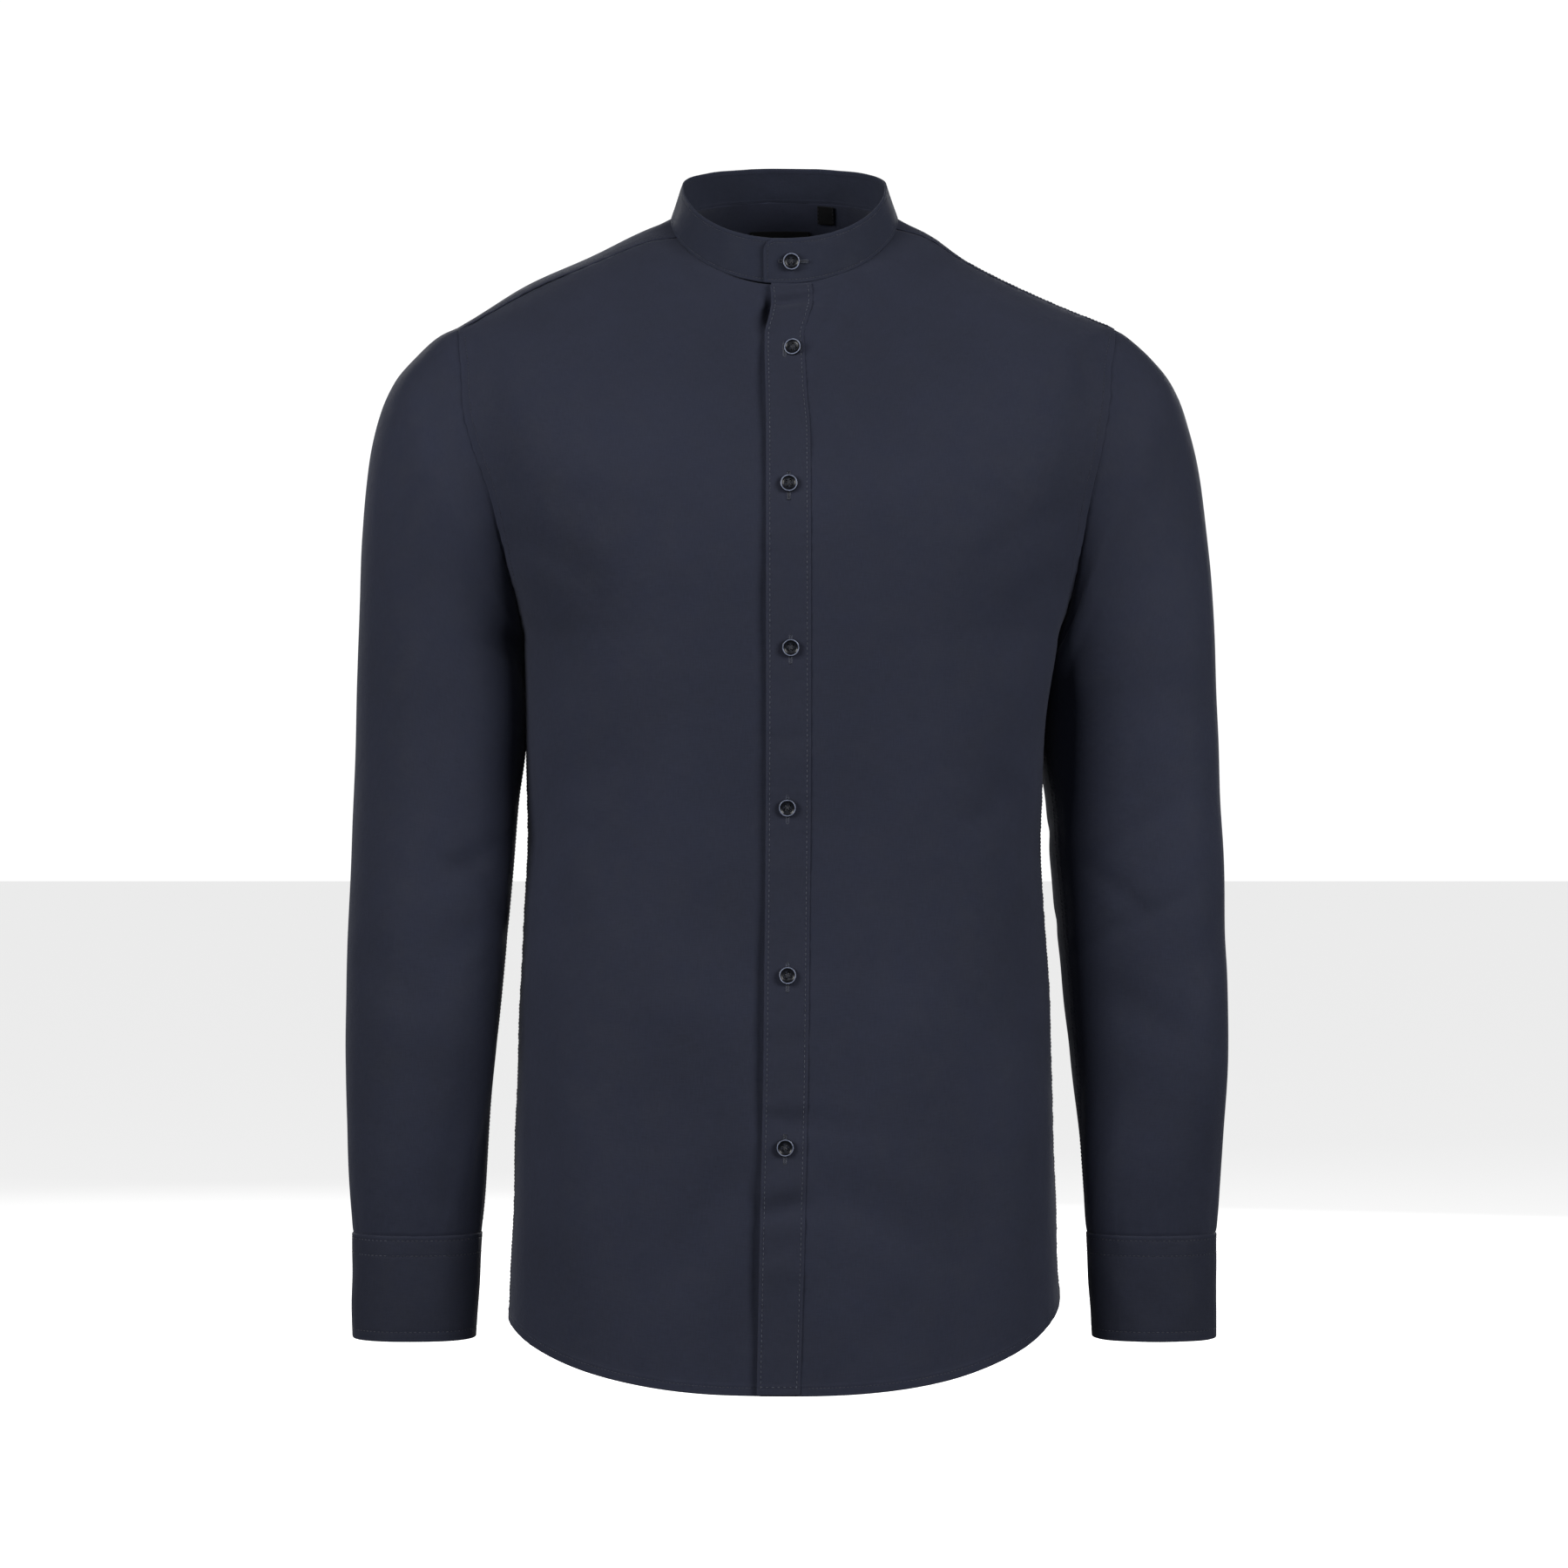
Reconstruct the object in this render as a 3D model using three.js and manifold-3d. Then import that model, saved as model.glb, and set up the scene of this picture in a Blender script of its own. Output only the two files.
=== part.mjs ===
// Long-sleeved shirt with a stand collar, worn shape with no wearer.
// Millimetres, +Z up, +X to the right as seen from the front, front faces -Y.
// Origin: middle of the collar's base, where neck and shoulders hold the shirt.
import * as THREE from 'three';
import Module from 'manifold-3d';

// ---- driving sizes ---------------------------------------------------------
const WALL = 1.2;            // cloth of the panels and sleeves
const STRIP = 1.0;           // button band, sleeve strips
const BAND_WALL = 1.6;       // collar band, two layers
const CUFF_WALL = 2.0;       // cuff, two layers
const GAP = 0.35;            // between pieces at a seam
const UNDER = 2.0;           // how far the lower front lies below the upper one
const YOKE_BACK_V = 605;     // height station of the back yoke seam
const UNDERARM_V = 431;      // height station of the underarm
const SHOULDER_V = 633;      // height station of the shoulder point
const NECK_V = 788;          // height station of the neck seam
const BUTTON_R = 5.75;
const BUTTON_T = 2.3;
const CUFF_TOP = -637, CUFF_BOTTOM = -703;
const CUFF_LAP = 2.45;       // outer cuff end over the inner one
const CUFF_LAP_AT = 282;     // where the cuff closes, degrees round the wrist
const SLIT_LONG = 118, SLIT_WIDE = 21;

// Body sections from hem to neck. v: length up the side; zl, zr: side height on
// the left and right of the front view; zf, zb: centre front and centre back
// height; w: half width; f, k: depth to front and back; n: squareness of the
// section; pl, pr: how sharply the edge line turns at the left and right side.
const BODY = table(['v', 'zl', 'zr', 'zf', 'zb', 'w', 'f', 'k', 'n', 'pl', 'pr'], [
  [0, -691, -677, -730, -740, 178.2, 123, 113, 2.50, 1.5, 1.2],
  [80, -610, -607, -643, -650, 175.0, 120, 110, 2.50, 1.6, 1.35],
  [190, -500, -499, -510, -512, 172.0, 115, 102, 2.45, 1.8, 1.7],
  [305, -385, -385, -385, -385, 166.5, 111, 94, 2.40, 2.0, 2.0],
  [370, -320, -320, -320, -320, 167.4, 115, 98, 2.40, 2.0, 2.0],
  [431, -254, -254, -258, -252, 168.6, 119, 104, 2.40, 2.0, 2.0],
  [450, -235, -235, -242, -231, 174.0, 120, 106, 2.40, 2.0, 2.0],
  [483, -202, -202, -214, -196, 189.0, 121, 108, 2.40, 2.0, 2.0],
  [505, -180, -180, -197, -172, 199.0, 120.5, 109, 2.40, 2.0, 2.0],
  [539, -146, -146, -170, -133, 209.0, 118, 109, 2.40, 2.0, 2.0],
  [561, -124, -124, -154, -108, 214.5, 114.5, 107.5, 2.38, 2.0, 2.0],
  [586, -99, -99, -137, -80, 217.5, 109, 104, 2.35, 2.0, 2.0],
  [633, -52, -53, -106, -30, 211.0, 96, 94, 2.30, 2.0, 2.0],
  [680, -25, -33, -82, -5, 168.0, 86, 85, 2.25, 1.9, 1.9],
  [735, -1.5, -8, -54, 17, 118.0, 74, 75, 2.15, 1.7, 1.7],
  [762, 10.5, 9, -40, 27, 94.0, 68, 69, 2.08, 1.5, 1.5],
  [788, 19, 19, -28, 37, 73.4, 62, 63, 2.00, 1.12, 1.12],
]);

// Armhole: greatest depth of its front and back edge from the side line, and
// how far the yoke reaches over to the front at the shoulder and at the neck.
const ARMHOLE_FRONT = 55, ARMHOLE_BACK = 52, ARMHOLE_TOP_BACK = 20;
const YOKE_FRONT = { left: { shoulder: 26, neck: 20 }, right: { shoulder: 15, neck: 11 } };

// Button band by height: c its middle, h its half width.
const PLACKET = table(['z', 'c', 'h'], [
  [-740, -4.0, 13.3], [-606, -0.8, 13.8], [-511, 1.0, 13.8], [-293, 2.6, 13.8],
  [-128, 2.4, 13.7], [-94, 0.9, 12.7], [-71, 0.1, 12.4], [-62, -0.1, 12.1],
  [-51, 2.8, 12.2], [-40, 4.8, 12.8], [-26, 3.4, 13.0],
]);

// Collar band: lower and upper loop. zf, zs, zb: height at front, side, back.
const BAND_TOP = { a: 66.3, f: 63.2, k: 49.5, zf: 0, zs: 40, zb: 57.2, n: 2.15, pf: 1.1, pb: 0.8 };
const BAND_END = { over: -12.6, under: 12.0, round: 9 };

// Sleeve sections from armhole to cuff. s: length down the sleeve; zo, xl, xr:
// outer line height and distance on left and right; zi, il, ir: inner line;
// d: half depth; y: middle of the depth.
const SLEEVE = table(['s', 'zo', 'xl', 'xr', 'zi', 'il', 'ir', 'd', 'y'], [
  [0, -52, 211.0, 209.5, -254, 169.5, 169.5, 54, 0],
  [10, -58.5, 224.2, 220.5, -255.6, 170.2, 170.2, 57.5, 1],
  [24, -70, 237.6, 234.8, -258, 170.8, 170.8, 60.5, 2],
  [42, -86, 252.0, 248.3, -261.5, 171.2, 171.0, 62.5, 3],
  [65, -108, 262.3, 259.0, -266.5, 170.2, 170.0, 64, 6],
  [95, -140, 270.0, 267.8, -274, 169.7, 169.5, 65, 9],
  [130, -176, 274.2, 272.3, -284, 169.3, 169.1, 65.5, 11],
  [170, -218, 276.2, 275.3, -300, 169.2, 169.1, 65.5, 11],
  [215, -268, 278.0, 277.0, -325, 170.2, 170.0, 65, 10],
  [265, -325, 279.2, 278.6, -357, 172.6, 172.3, 63.5, 7],
  [320, -385, 281.0, 280.6, -397, 175.4, 175.2, 61.5, 2],
  [380, -450, 283.3, 282.6, -453, 180.2, 180.2, 59, -3],
  [440, -511, 284.4, 283.9, -511, 185.4, 185.4, 55.5, -8],
  [510, -578, 282.6, 282.5, -578, 191.0, 190.6, 49, -11],
  [554, -618, 279.9, 280.3, -618, 194.0, 193.9, 42.5, -12.3],
  [568, -631.5, 278.7, 279.2, -631.5, 195.6, 195.2, 39.5, -12.8],
  [574, -637, 276.1, 276.2, -637, 198.1, 197.9, 35.9, -13],
  [581, -644, 276.0, 276.1, -644, 198.3, 198.1, 35.6, -13],
]);
const CUFF = table(['z', 'xl', 'xr', 'il', 'ir', 'd', 'y'], [
  [-703, 279.3, 278.9, 199.0, 198.7, 37.2, -14],
  [-670, 279.3, 278.9, 197.0, 196.6, 38.4, -13.5],
  [-637, 279.3, 279.3, 195.0, 194.7, 38.9, -13],
]);

// Largest soft folds. on: piece; a: angle round the section in degrees; v:
// station; dir: tilt of its length in degrees from upright; long, wide, deep.
const FOLDS = table(['on', 'a', 'v', 'dir', 'long', 'wide', 'deep'], [
  ['body', -42, 470, 28, 150, 34, -2.2],
  ['body', 40, 478, -24, 140, 30, -2.0],
  ['body', -60, 330, 62, 120, 26, -2.4],
  ['body', 62, 318, -58, 130, 28, -2.2],
  ['body', -30, 150, 12, 210, 36, 2.2],
  ['body', 34, 170, -10, 230, 40, -2.4],
  ['body', 60, 110, 8, 170, 30, 2.0],
  ['body', -66, 120, -6, 180, 30, -2.2],
  ['body', 150, 330, 64, 170, 30, -2.6],
  ['body', -152, 322, -60, 160, 30, -2.4],
  ['body', 128, 500, 20, 150, 30, -2.0],
  ['body', -130, 505, -22, 150, 30, -2.0],
  ['sleeve_right', 60, 385, 60, 70, 18, -2.2],
  ['sleeve_right', 118, 420, -62, 66, 16, -2.0],
  ['sleeve_left', 62, 400, 58, 72, 18, -2.2],
  ['sleeve_left', 116, 372, -60, 64, 16, -2.0],
  ['sleeve_right', 250, 395, 66, 80, 18, -2.4],
  ['sleeve_left', 252, 385, -64, 80, 18, -2.4],
]);

const BUTTONS = table(['name', 'x', 'z'], [
  ['button_1', 5.0, -70.5], ['button_2', 2.7, -159], ['button_3', 3.8, -261.3],
  ['button_4', 1.9, -361.7], ['button_5', 1.9, -467.3], ['button_6', 0.3, -574.9],
]);
const COLLAR_BUTTON = { x: 3.9, z: -14.5 };

const COLOUR = { chest: 0x30333f, sleeve: 0x2e303b, collar: 0x2a2e39, inside: 0x22252f,
  button: 0x14161c, label: 0x101012 };

// ---- helpers ---------------------------------------------------------------
function table(names, rows) {
  return rows.map((r) => Object.fromEntries(names.map((k, i) => [k, r[i]])));
}
const rad = (d) => (d * Math.PI) / 180;
const lerp = (a, b, t) => a + (b - a) * t;
const clamp = (x, a = 0, b = 1) => Math.min(b, Math.max(a, x));
const smooth = (a, b, x) => { const t = clamp((x - a) / (b - a)); return t * t * (3 - 2 * t); };
const pow = (x, e) => Math.sign(x) * Math.abs(x) ** e;

// Smooth curve through one column of a table.
function at(tab, key, by, x) {
  const n = tab.length;
  const X = (i) => tab[i][by], Y = (i) => tab[i][key];
  if (x <= X(0)) return Y(0);
  if (x >= X(n - 1)) return Y(n - 1);
  let i = 0;
  while (x > X(i + 1)) i += 1;
  const h = X(i + 1) - X(i);
  const slope = (j) => {
    if (j <= 0) return (Y(1) - Y(0)) / (X(1) - X(0));
    if (j >= n - 1) return (Y(n - 1) - Y(n - 2)) / (X(n - 1) - X(n - 2));
    const a = (Y(j) - Y(j - 1)) / (X(j) - X(j - 1));
    const b = (Y(j + 1) - Y(j)) / (X(j + 1) - X(j));
    if (a * b <= 0) return 0;
    return (2 * a * b) / (a + b);
  };
  const t = (x - X(i)) / h;
  const m0 = slope(i) * h, m1 = slope(i + 1) * h;
  return Y(i) * (1 + 2 * t) * (1 - t) ** 2 + m0 * t * (1 - t) ** 2
    + Y(i + 1) * t * t * (3 - 2 * t) + m1 * t * t * (t - 1);
}

// Depth of every fold of one piece at angle a (degrees) and station v, where
// r is the section's radius, so that the fold's width is a real length.
function foldDepth(on, a, v, r) {
  let sum = 0;
  for (const fo of FOLDS) {
    if (fo.on !== on) continue;
    let da = a - fo.a;
    da -= 360 * Math.round(da / 360);
    const x = rad(da) * r, y = v - fo.v;
    const c = Math.cos(rad(fo.dir)), s = Math.sin(rad(fo.dir));
    const along = x * s + y * c, across = x * c - y * s;
    sum += fo.deep * Math.exp(-((across / fo.wide) ** 2)) * Math.exp(-((2 * along / fo.long) ** 4));
  }
  return sum;
}

// ---- body surface ----------------------------------------------------------
// a: angle from centre front in degrees, plus to +X; v: station.
function bodyRaw(a, v) {
  const g = (k) => at(BODY, k, 'v', v);
  const c = Math.cos(rad(a)), s = Math.sin(rad(a));
  const n = g('n'), e = 2 / n;
  const zs = s >= 0 ? g('zr') : g('zl');
  const end = c >= 0 ? g('zf') : g('zb');
  return new THREE.Vector3(g('w') * pow(s, e), -(c >= 0 ? g('f') : g('k')) * pow(c, e),
    zs + (end - zs) * Math.abs(c) ** g(s >= 0 ? 'pr' : 'pl'));
}
function surfaceNormal(fn, a, v, da, dv) {
  const x = fn(a + da, v).sub(fn(a - da, v));
  const y = fn(a, v + dv).sub(fn(a, v - dv));
  return x.cross(y).normalize();
}
function bodyNormal(a, v) {
  return surfaceNormal(bodyRaw, a, Math.min(v, NECK_V - 1.1), 1, 1);
}
function body(a, v, lift = 0) {
  const d = foldDepth('body', a, v, 140) * (1 - smooth(NECK_V - 90, NECK_V - 30, v));
  return bodyRaw(a, v).addScaledVector(bodyNormal(a, v), d + lift);
}
const angleOfY = (y, v) => {
  const depth = y < 0 ? at(BODY, 'f', 'v', v) : at(BODY, 'k', 'v', v);
  const c = clamp(Math.abs(y) / depth) ** (at(BODY, 'n', 'v', v) / 2);
  const a = (Math.acos(c) * 180) / Math.PI;
  return y < 0 ? a : 180 - a;
};
const angleOfX = (x, v) => {
  const s = clamp(Math.abs(x) / at(BODY, 'w', 'v', v)) ** (at(BODY, 'n', 'v', v) / 2);
  return (Math.sign(x) * Math.asin(s) * 180) / Math.PI;
};
const frontHeight = (v) => at(BODY, 'zf', 'v', v);

// Armhole edge. q: degrees round the armhole, 0 at the shoulder, 90 at the
// front, 180 under the arm, 270 at the back. Gives the station and depth y.
function armhole(q, side) {
  const front = q <= 180;
  const r = front ? q : 360 - q;
  const depth = front ? ARMHOLE_FRONT : ARMHOLE_BACK;
  const top = front ? YOKE_FRONT[side].shoulder : ARMHOLE_TOP_BACK;
  const q0 = (Math.asin(top / depth) * 180) / Math.PI;
  const y = depth * Math.sin(rad(r)) * (front ? -1 : 1);
  if (r <= q0) return { v: SHOULDER_V, y };
  return { v: lerp(UNDERARM_V, SHOULDER_V, (1 + Math.cos(rad(r))) / (1 + Math.cos(rad(q0)))), y };
}
const sgn = (side) => (side === 'right' ? 1 : -1);
function armholePoint(q, side) {
  const { v, y } = armhole(q, side);
  return body(sgn(side) * angleOfY(y, v), v);
}
// Angle of the front edge (and back edge) of the panels at station v.
function armholeAngle(v, side, front) {
  const depth = front ? ARMHOLE_FRONT : ARMHOLE_BACK;
  const top = front ? YOKE_FRONT[side].shoulder : ARMHOLE_TOP_BACK;
  const q0 = Math.asin(top / depth);
  const c = ((v - UNDERARM_V) / (SHOULDER_V - UNDERARM_V)) * (1 + Math.cos(q0)) - 1;
  const y = Math.max(depth * Math.sin(Math.acos(clamp(c, -1, 1))), GAP / 2);
  return angleOfY(front ? -y : y, v);
}
// Stations of the panel rows: body, beside the armhole, shoulder.
const ROWS_BODY = [0, 18, 60, 110, 165, 220, 275, 330, 385, 431];
const ARM_STEPS = 9;
const ROWS_ARM = [];
for (let i = 1; i <= ARM_STEPS; i += 1) {
  const q0 = Math.asin(22 / 54);
  const q = lerp(Math.PI, q0, i / ARM_STEPS);
  ROWS_ARM.push(lerp(UNDERARM_V, SHOULDER_V, (1 + Math.cos(q)) / (1 + Math.cos(q0))));
}
const ROWS_SHOULDER = [660, 686, 710, 732, 754, 787.6];

// ---- closed shells ---------------------------------------------------------
// outer: points; inward: unit directions to the cloth's other face; quads are
// anticlockwise seen from outside.
function shell(outer, normal, quads, wall) {
  const n = outer.length;
  const pos = [];
  for (const p of outer) pos.push(p.x, p.y, p.z);
  outer.forEach((p, i) => {
    const w = Array.isArray(wall) ? wall[i] : wall;
    pos.push(p.x - normal[i].x * w, p.y - normal[i].y * w, p.z - normal[i].z * w);
  });
  const idx = [];
  const edges = new Map();
  for (const [a, b, c, d] of quads) {
    idx.push(a, b, c, a, c, d, n + a, n + c, n + b, n + a, n + d, n + c);
    for (const [p, q] of [[a, b], [b, c], [c, d], [d, a]]) {
      if (edges.has(`${q}_${p}`)) edges.delete(`${q}_${p}`);
      else edges.set(`${p}_${q}`, [p, q]);
    }
  }
  for (const [p, q] of edges.values()) idx.push(q, p, n + p, q, n + p, n + q);
  const geo = new THREE.BufferGeometry();
  geo.setAttribute('position', new THREE.Float32BufferAttribute(pos, 3));
  geo.setIndex(idx);
  geo.computeVertexNormals();
  return geo;
}
// Rectangular patch: rows of columns, given by a point function.
function gridShell(rows, cols, pointAt, normalAt, wall, { wrap = false, flip = false } = {}) {
  const outer = [], normal = [], quads = [], walls = [];
  for (let i = 0; i < rows; i += 1) {
    for (let j = 0; j < cols; j += 1) {
      outer.push(pointAt(i, j));
      normal.push(normalAt(i, j));
      walls.push(typeof wall === 'function' ? wall(i, j) : wall);
    }
  }
  const last = wrap ? cols : cols - 1;
  for (let i = 0; i + 1 < rows; i += 1) {
    for (let j = 0; j < last; j += 1) {
      const k = (j + 1) % cols;
      const q = [i * cols + j, i * cols + k, (i + 1) * cols + k, (i + 1) * cols + j];
      quads.push(flip ? q.reverse() : q);
    }
  }
  return shell(outer, normal, quads, walls);
}

const shirt = new THREE.Group();
function cloth(name, geometry, colour, roughness = 0.78) {
  const mesh = new THREE.Mesh(geometry, new THREE.MeshStandardMaterial({
    color: colour, roughness, metalness: 0 }));
  mesh.name = name;
  shirt.add(mesh);
  return mesh;
}

// ---- fronts ----------------------------------------------------------------
const FRONT_COLS = 10;
const frontRows = [...ROWS_BODY, ...ROWS_ARM, ...ROWS_SHOULDER];
function frontEdgeAngle(v, side) {
  if (v <= UNDERARM_V) return angleOfY(-GAP / 2, v);
  if (v < SHOULDER_V - 0.01) return armholeAngle(v, side, true);
  const y = YOKE_FRONT[side];
  return angleOfY(-lerp(y.shoulder, y.neck, (v - SHOULDER_V) / (NECK_V - SHOULDER_V)) - GAP, v);
}
function frontPanel(side) {
  const over = side === 'right';               // the front that carries the band
  const centreX = (v) => {
    const z = frontHeight(v);
    const c = at(PLACKET, 'c', 'z', z), h = at(PLACKET, 'h', 'z', z);
    return over ? c - h + 1.2 : c + h - 3;
  };
  const angle = (i, j) => {
    const v = frontRows[i];
    const a0 = angleOfX(centreX(v), v), a1 = sgn(side) * frontEdgeAngle(v, side);
    return lerp(a0, a1, j / FRONT_COLS);
  };
  const lift = (a, v) => {
    if (over) return 0;
    const z = frontHeight(v), x = bodyRaw(a, v).x;
    const edge = at(PLACKET, 'c', 'z', z) - at(PLACKET, 'h', 'z', z);
    return -UNDER * smooth(edge - 34, edge - 5, x);
  };
  return gridShell(frontRows.length, FRONT_COLS + 1,
    (i, j) => body(angle(i, j), frontRows[i], lift(angle(i, j), frontRows[i])),
    (i, j) => bodyNormal(angle(i, j), frontRows[i]), WALL, { flip: !over });
}
cloth('front_left', frontPanel('right'), COLOUR.chest);
cloth('front_right', frontPanel('left'), COLOUR.chest);

// Button band on the left front.
{
  const rows = [0.6, ...frontRows.slice(1, -1), 784];
  const angle = (i, j) => {
    const z = frontHeight(rows[i]);
    return angleOfX(at(PLACKET, 'c', 'z', z) + at(PLACKET, 'h', 'z', z) * (j - 1), rows[i]);
  };
  cloth('placket', gridShell(rows.length, 3,
    (i, j) => body(angle(i, j), rows[i], GAP + STRIP),
    (i, j) => bodyNormal(angle(i, j), rows[i]), STRIP), COLOUR.chest);
}

// ---- back ------------------------------------------------------------------
{
  const rows = [...ROWS_BODY, ...ROWS_ARM.filter((v) => v < YOKE_BACK_V - 8), YOKE_BACK_V - GAP / 2];
  const cols = 16;
  const edge = (v, side) => (v <= UNDERARM_V ? angleOfY(GAP / 2, v) : armholeAngle(v, side, false));
  const angle = (i, j) => lerp(edge(rows[i], 'right'), 360 - edge(rows[i], 'left'), j / cols);
  cloth('back', gridShell(rows.length, cols + 1,
    (i, j) => body(angle(i, j), rows[i]),
    (i, j) => bodyNormal(angle(i, j), rows[i]), WALL), COLOUR.chest);
}

// ---- yoke: over both shoulders, from front seam to back seam ----------------
{
  const low = [YOKE_BACK_V + GAP / 2];
  const high = [SHOULDER_V, ...ROWS_SHOULDER];
  const mid = 16, tip = 2;
  const outer = [], normal = [], quads = [], index = new Map();
  const put = (key, a, v) => {
    index.set(key, outer.length);
    outer.push(body(a, v));
    normal.push(bodyNormal(a, v));
  };
  const frontA = (v, side) => {
    const y = YOKE_FRONT[side];
    return angleOfY(-lerp(y.shoulder, y.neck, (v - SHOULDER_V) / (NECK_V - SHOULDER_V)), v);
  };
  const rows = [...low, ...high];
  rows.forEach((v, i) => {
    const backR = armholeAngle(Math.min(v, SHOULDER_V), 'right', false);
    const backL = 360 - armholeAngle(Math.min(v, SHOULDER_V), 'left', false);
    for (let j = 0; j <= mid; j += 1) put(`${i},${j}`, lerp(backR, backL, j / mid), v);
    if (v < SHOULDER_V) return;
    for (let j = 1; j <= tip; j += 1) {
      put(`${i},${-j}`, lerp(backR, frontA(v, 'right'), j / tip), v);
      put(`${i},${mid + j}`, lerp(backL, 360 - frontA(v, 'left'), j / tip), v);
    }
  });
  rows.slice(0, -1).forEach((v, i) => {
    const ext = v < SHOULDER_V ? 0 : tip;
    for (let j = -ext; j < mid + ext; j += 1) {
      quads.push([index.get(`${i},${j}`), index.get(`${i},${j + 1}`),
        index.get(`${i + 1},${j + 1}`), index.get(`${i + 1},${j}`)]);
    }
  });
  cloth('yoke', shell(outer, normal, quads, WALL), COLOUR.chest);
}

// ---- sleeves ---------------------------------------------------------------
const SLEEVE_COLS = 2 * ARM_STEPS;
function sleeveFan(q, s, side) {
  const g = (k) => at(SLEEVE, k, 's', s);
  const xo = side === 'right' ? g('xr') : g('xl'), xi = side === 'right' ? g('ir') : g('il');
  const c = Math.cos(rad(q)), d = Math.sin(rad(q));
  return new THREE.Vector3(sgn(side) * ((xo + xi) / 2 + ((xo - xi) / 2) * pow(c, 0.94)),
    g('y') - g('d') * pow(d, 0.94), (g('zo') + g('zi')) / 2 + ((g('zo') - g('zi')) / 2) * c);
}
function sleeveRaw(q, s, side) {
  const p = sleeveFan(q, s, side);
  const hold = 1 - smooth(0, 120, s);
  if (hold > 0) {
    const edge = armholePoint(q, side);
    edge.x += sgn(side) * 0.9;
    p.addScaledVector(edge.sub(sleeveFan(q, 0, side)), hold);
  }
  return p;
}
function sleeveNormal(q, s, side) {
  const fn = (a, b) => sleeveRaw(((a % 360) + 360) % 360, b, side);
  const n = surfaceNormal(fn, q, clamp(s, 1.5, 579), 2, 1.5);
  return side === 'right' ? n : n.negate();
}
function sleevePoint(q, s, side, lift = 0) {
  const d = foldDepth(`sleeve_${side}`, q, s, 56);
  return sleeveRaw(q, s, side).addScaledVector(sleeveNormal(q, s, side), d + lift);
}
function sleeve(side) {
  const rows = [0, 9, 22, 42, 70, 104, 142, 186, 232, 282, 332, 388, 446, 506, 546, 567, 574, 581];
  // columns meet the ends of the panel rows
  const stops = [];
  for (let i = 0; i <= ARM_STEPS; i += 1) {
    const v = i === ARM_STEPS ? UNDERARM_V : ROWS_ARM[ARM_STEPS - 1 - i];
    stops.push(v);
  }
  const turn = (v, front) => {
    const depth = front ? ARMHOLE_FRONT : ARMHOLE_BACK;
    const top = front ? YOKE_FRONT[side].shoulder : ARMHOLE_TOP_BACK;
    const q0 = Math.asin(top / depth);
    const c = ((v - UNDERARM_V) / (SHOULDER_V - UNDERARM_V)) * (1 + Math.cos(q0)) - 1;
    return (Math.acos(clamp(c, -1, 1)) * 180) / Math.PI;
  };
  const q = [0, ...stops.map((v) => turn(v, true)),
    ...stops.slice(0, -1).reverse().map((v) => 360 - turn(v, false))];
  return gridShell(rows.length, q.length,
    (i, j) => sleevePoint(q[j], rows[i], side),
    (i, j) => sleeveNormal(q[j], rows[i], side), WALL, { wrap: true, flip: side === 'left' });
}
cloth('sleeve_left', sleeve('right'), COLOUR.sleeve);
cloth('sleeve_right', sleeve('left'), COLOUR.sleeve);

// Strip on the slit above each cuff, at the back of the wrist.
function sleeveStrip(side) {
  const rows = [0, 0.34, 0.67, 0.86, 1];
  const end = 563;
  const half = (t) => (SLIT_WIDE / 2) * (t <= 0.86 ? 1 : lerp(1, 0.12, (t - 0.86) / 0.14));
  const q = (i, j) => {
    const r = lerp(at(SLEEVE, 'd', 's', end), 56, rows[i] * 0.4);
    return CUFF_LAP_AT - 6 + ((j - 1) * half(rows[i]) / r) * (180 / Math.PI);
  };
  return gridShell(rows.length, 3,
    (i, j) => sleevePoint(q(i, j), end - SLIT_LONG * rows[i], side, STRIP + 1.0),
    (i, j) => sleeveNormal(q(i, j), end - SLIT_LONG * rows[i], side), STRIP, { flip: side === 'right' });
}
cloth('sleeve_placket_left', sleeveStrip('right'), COLOUR.sleeve);
cloth('sleeve_placket_right', sleeveStrip('left'), COLOUR.sleeve);

// ---- cuffs: a strip round the wrist, its outer end over the inner end --------
const CUFF_TURN = 394, CUFF_COLS = 24;
function cuffPoint(t, z, side) {
  const g = (k) => at(CUFF, k, 'z', z);
  const xo = side === 'right' ? g('xr') : g('xl'), xi = side === 'right' ? g('ir') : g('il');
  const q = CUFF_LAP_AT + 17 - t;              // inner end first, outer end last
  const lift = CUFF_LAP * smooth(CUFF_TURN - 86, CUFF_TURN - 36, t);
  const c = pow(Math.cos(rad(q)), 0.92), d = pow(Math.sin(rad(q)), 0.92);
  return new THREE.Vector3(sgn(side) * ((xo + xi) / 2 + ((xo - xi) / 2 + lift) * c),
    g('y') - (g('d') + lift) * d, z);
}
function cuffNormal(t, z, side) {
  const fn = (a, b) => cuffPoint(a, b, side);
  const n = surfaceNormal(fn, t, z, 2, 2);
  return side === 'right' ? n : n.negate();
}
function cuff(side) {
  const rows = [CUFF_BOTTOM, (CUFF_TOP + CUFF_BOTTOM) / 2, CUFF_TOP];
  const t = (j) => (CUFF_TURN * j) / CUFF_COLS;
  return gridShell(rows.length, CUFF_COLS + 1,
    (i, j) => cuffPoint(t(j), rows[i], side),
    (i, j) => cuffNormal(t(j), rows[i], side), CUFF_WALL, { flip: side === 'left' });
}
cloth('cuff_left', cuff('right'), COLOUR.sleeve);
cloth('cuff_right', cuff('left'), COLOUR.sleeve);

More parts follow.
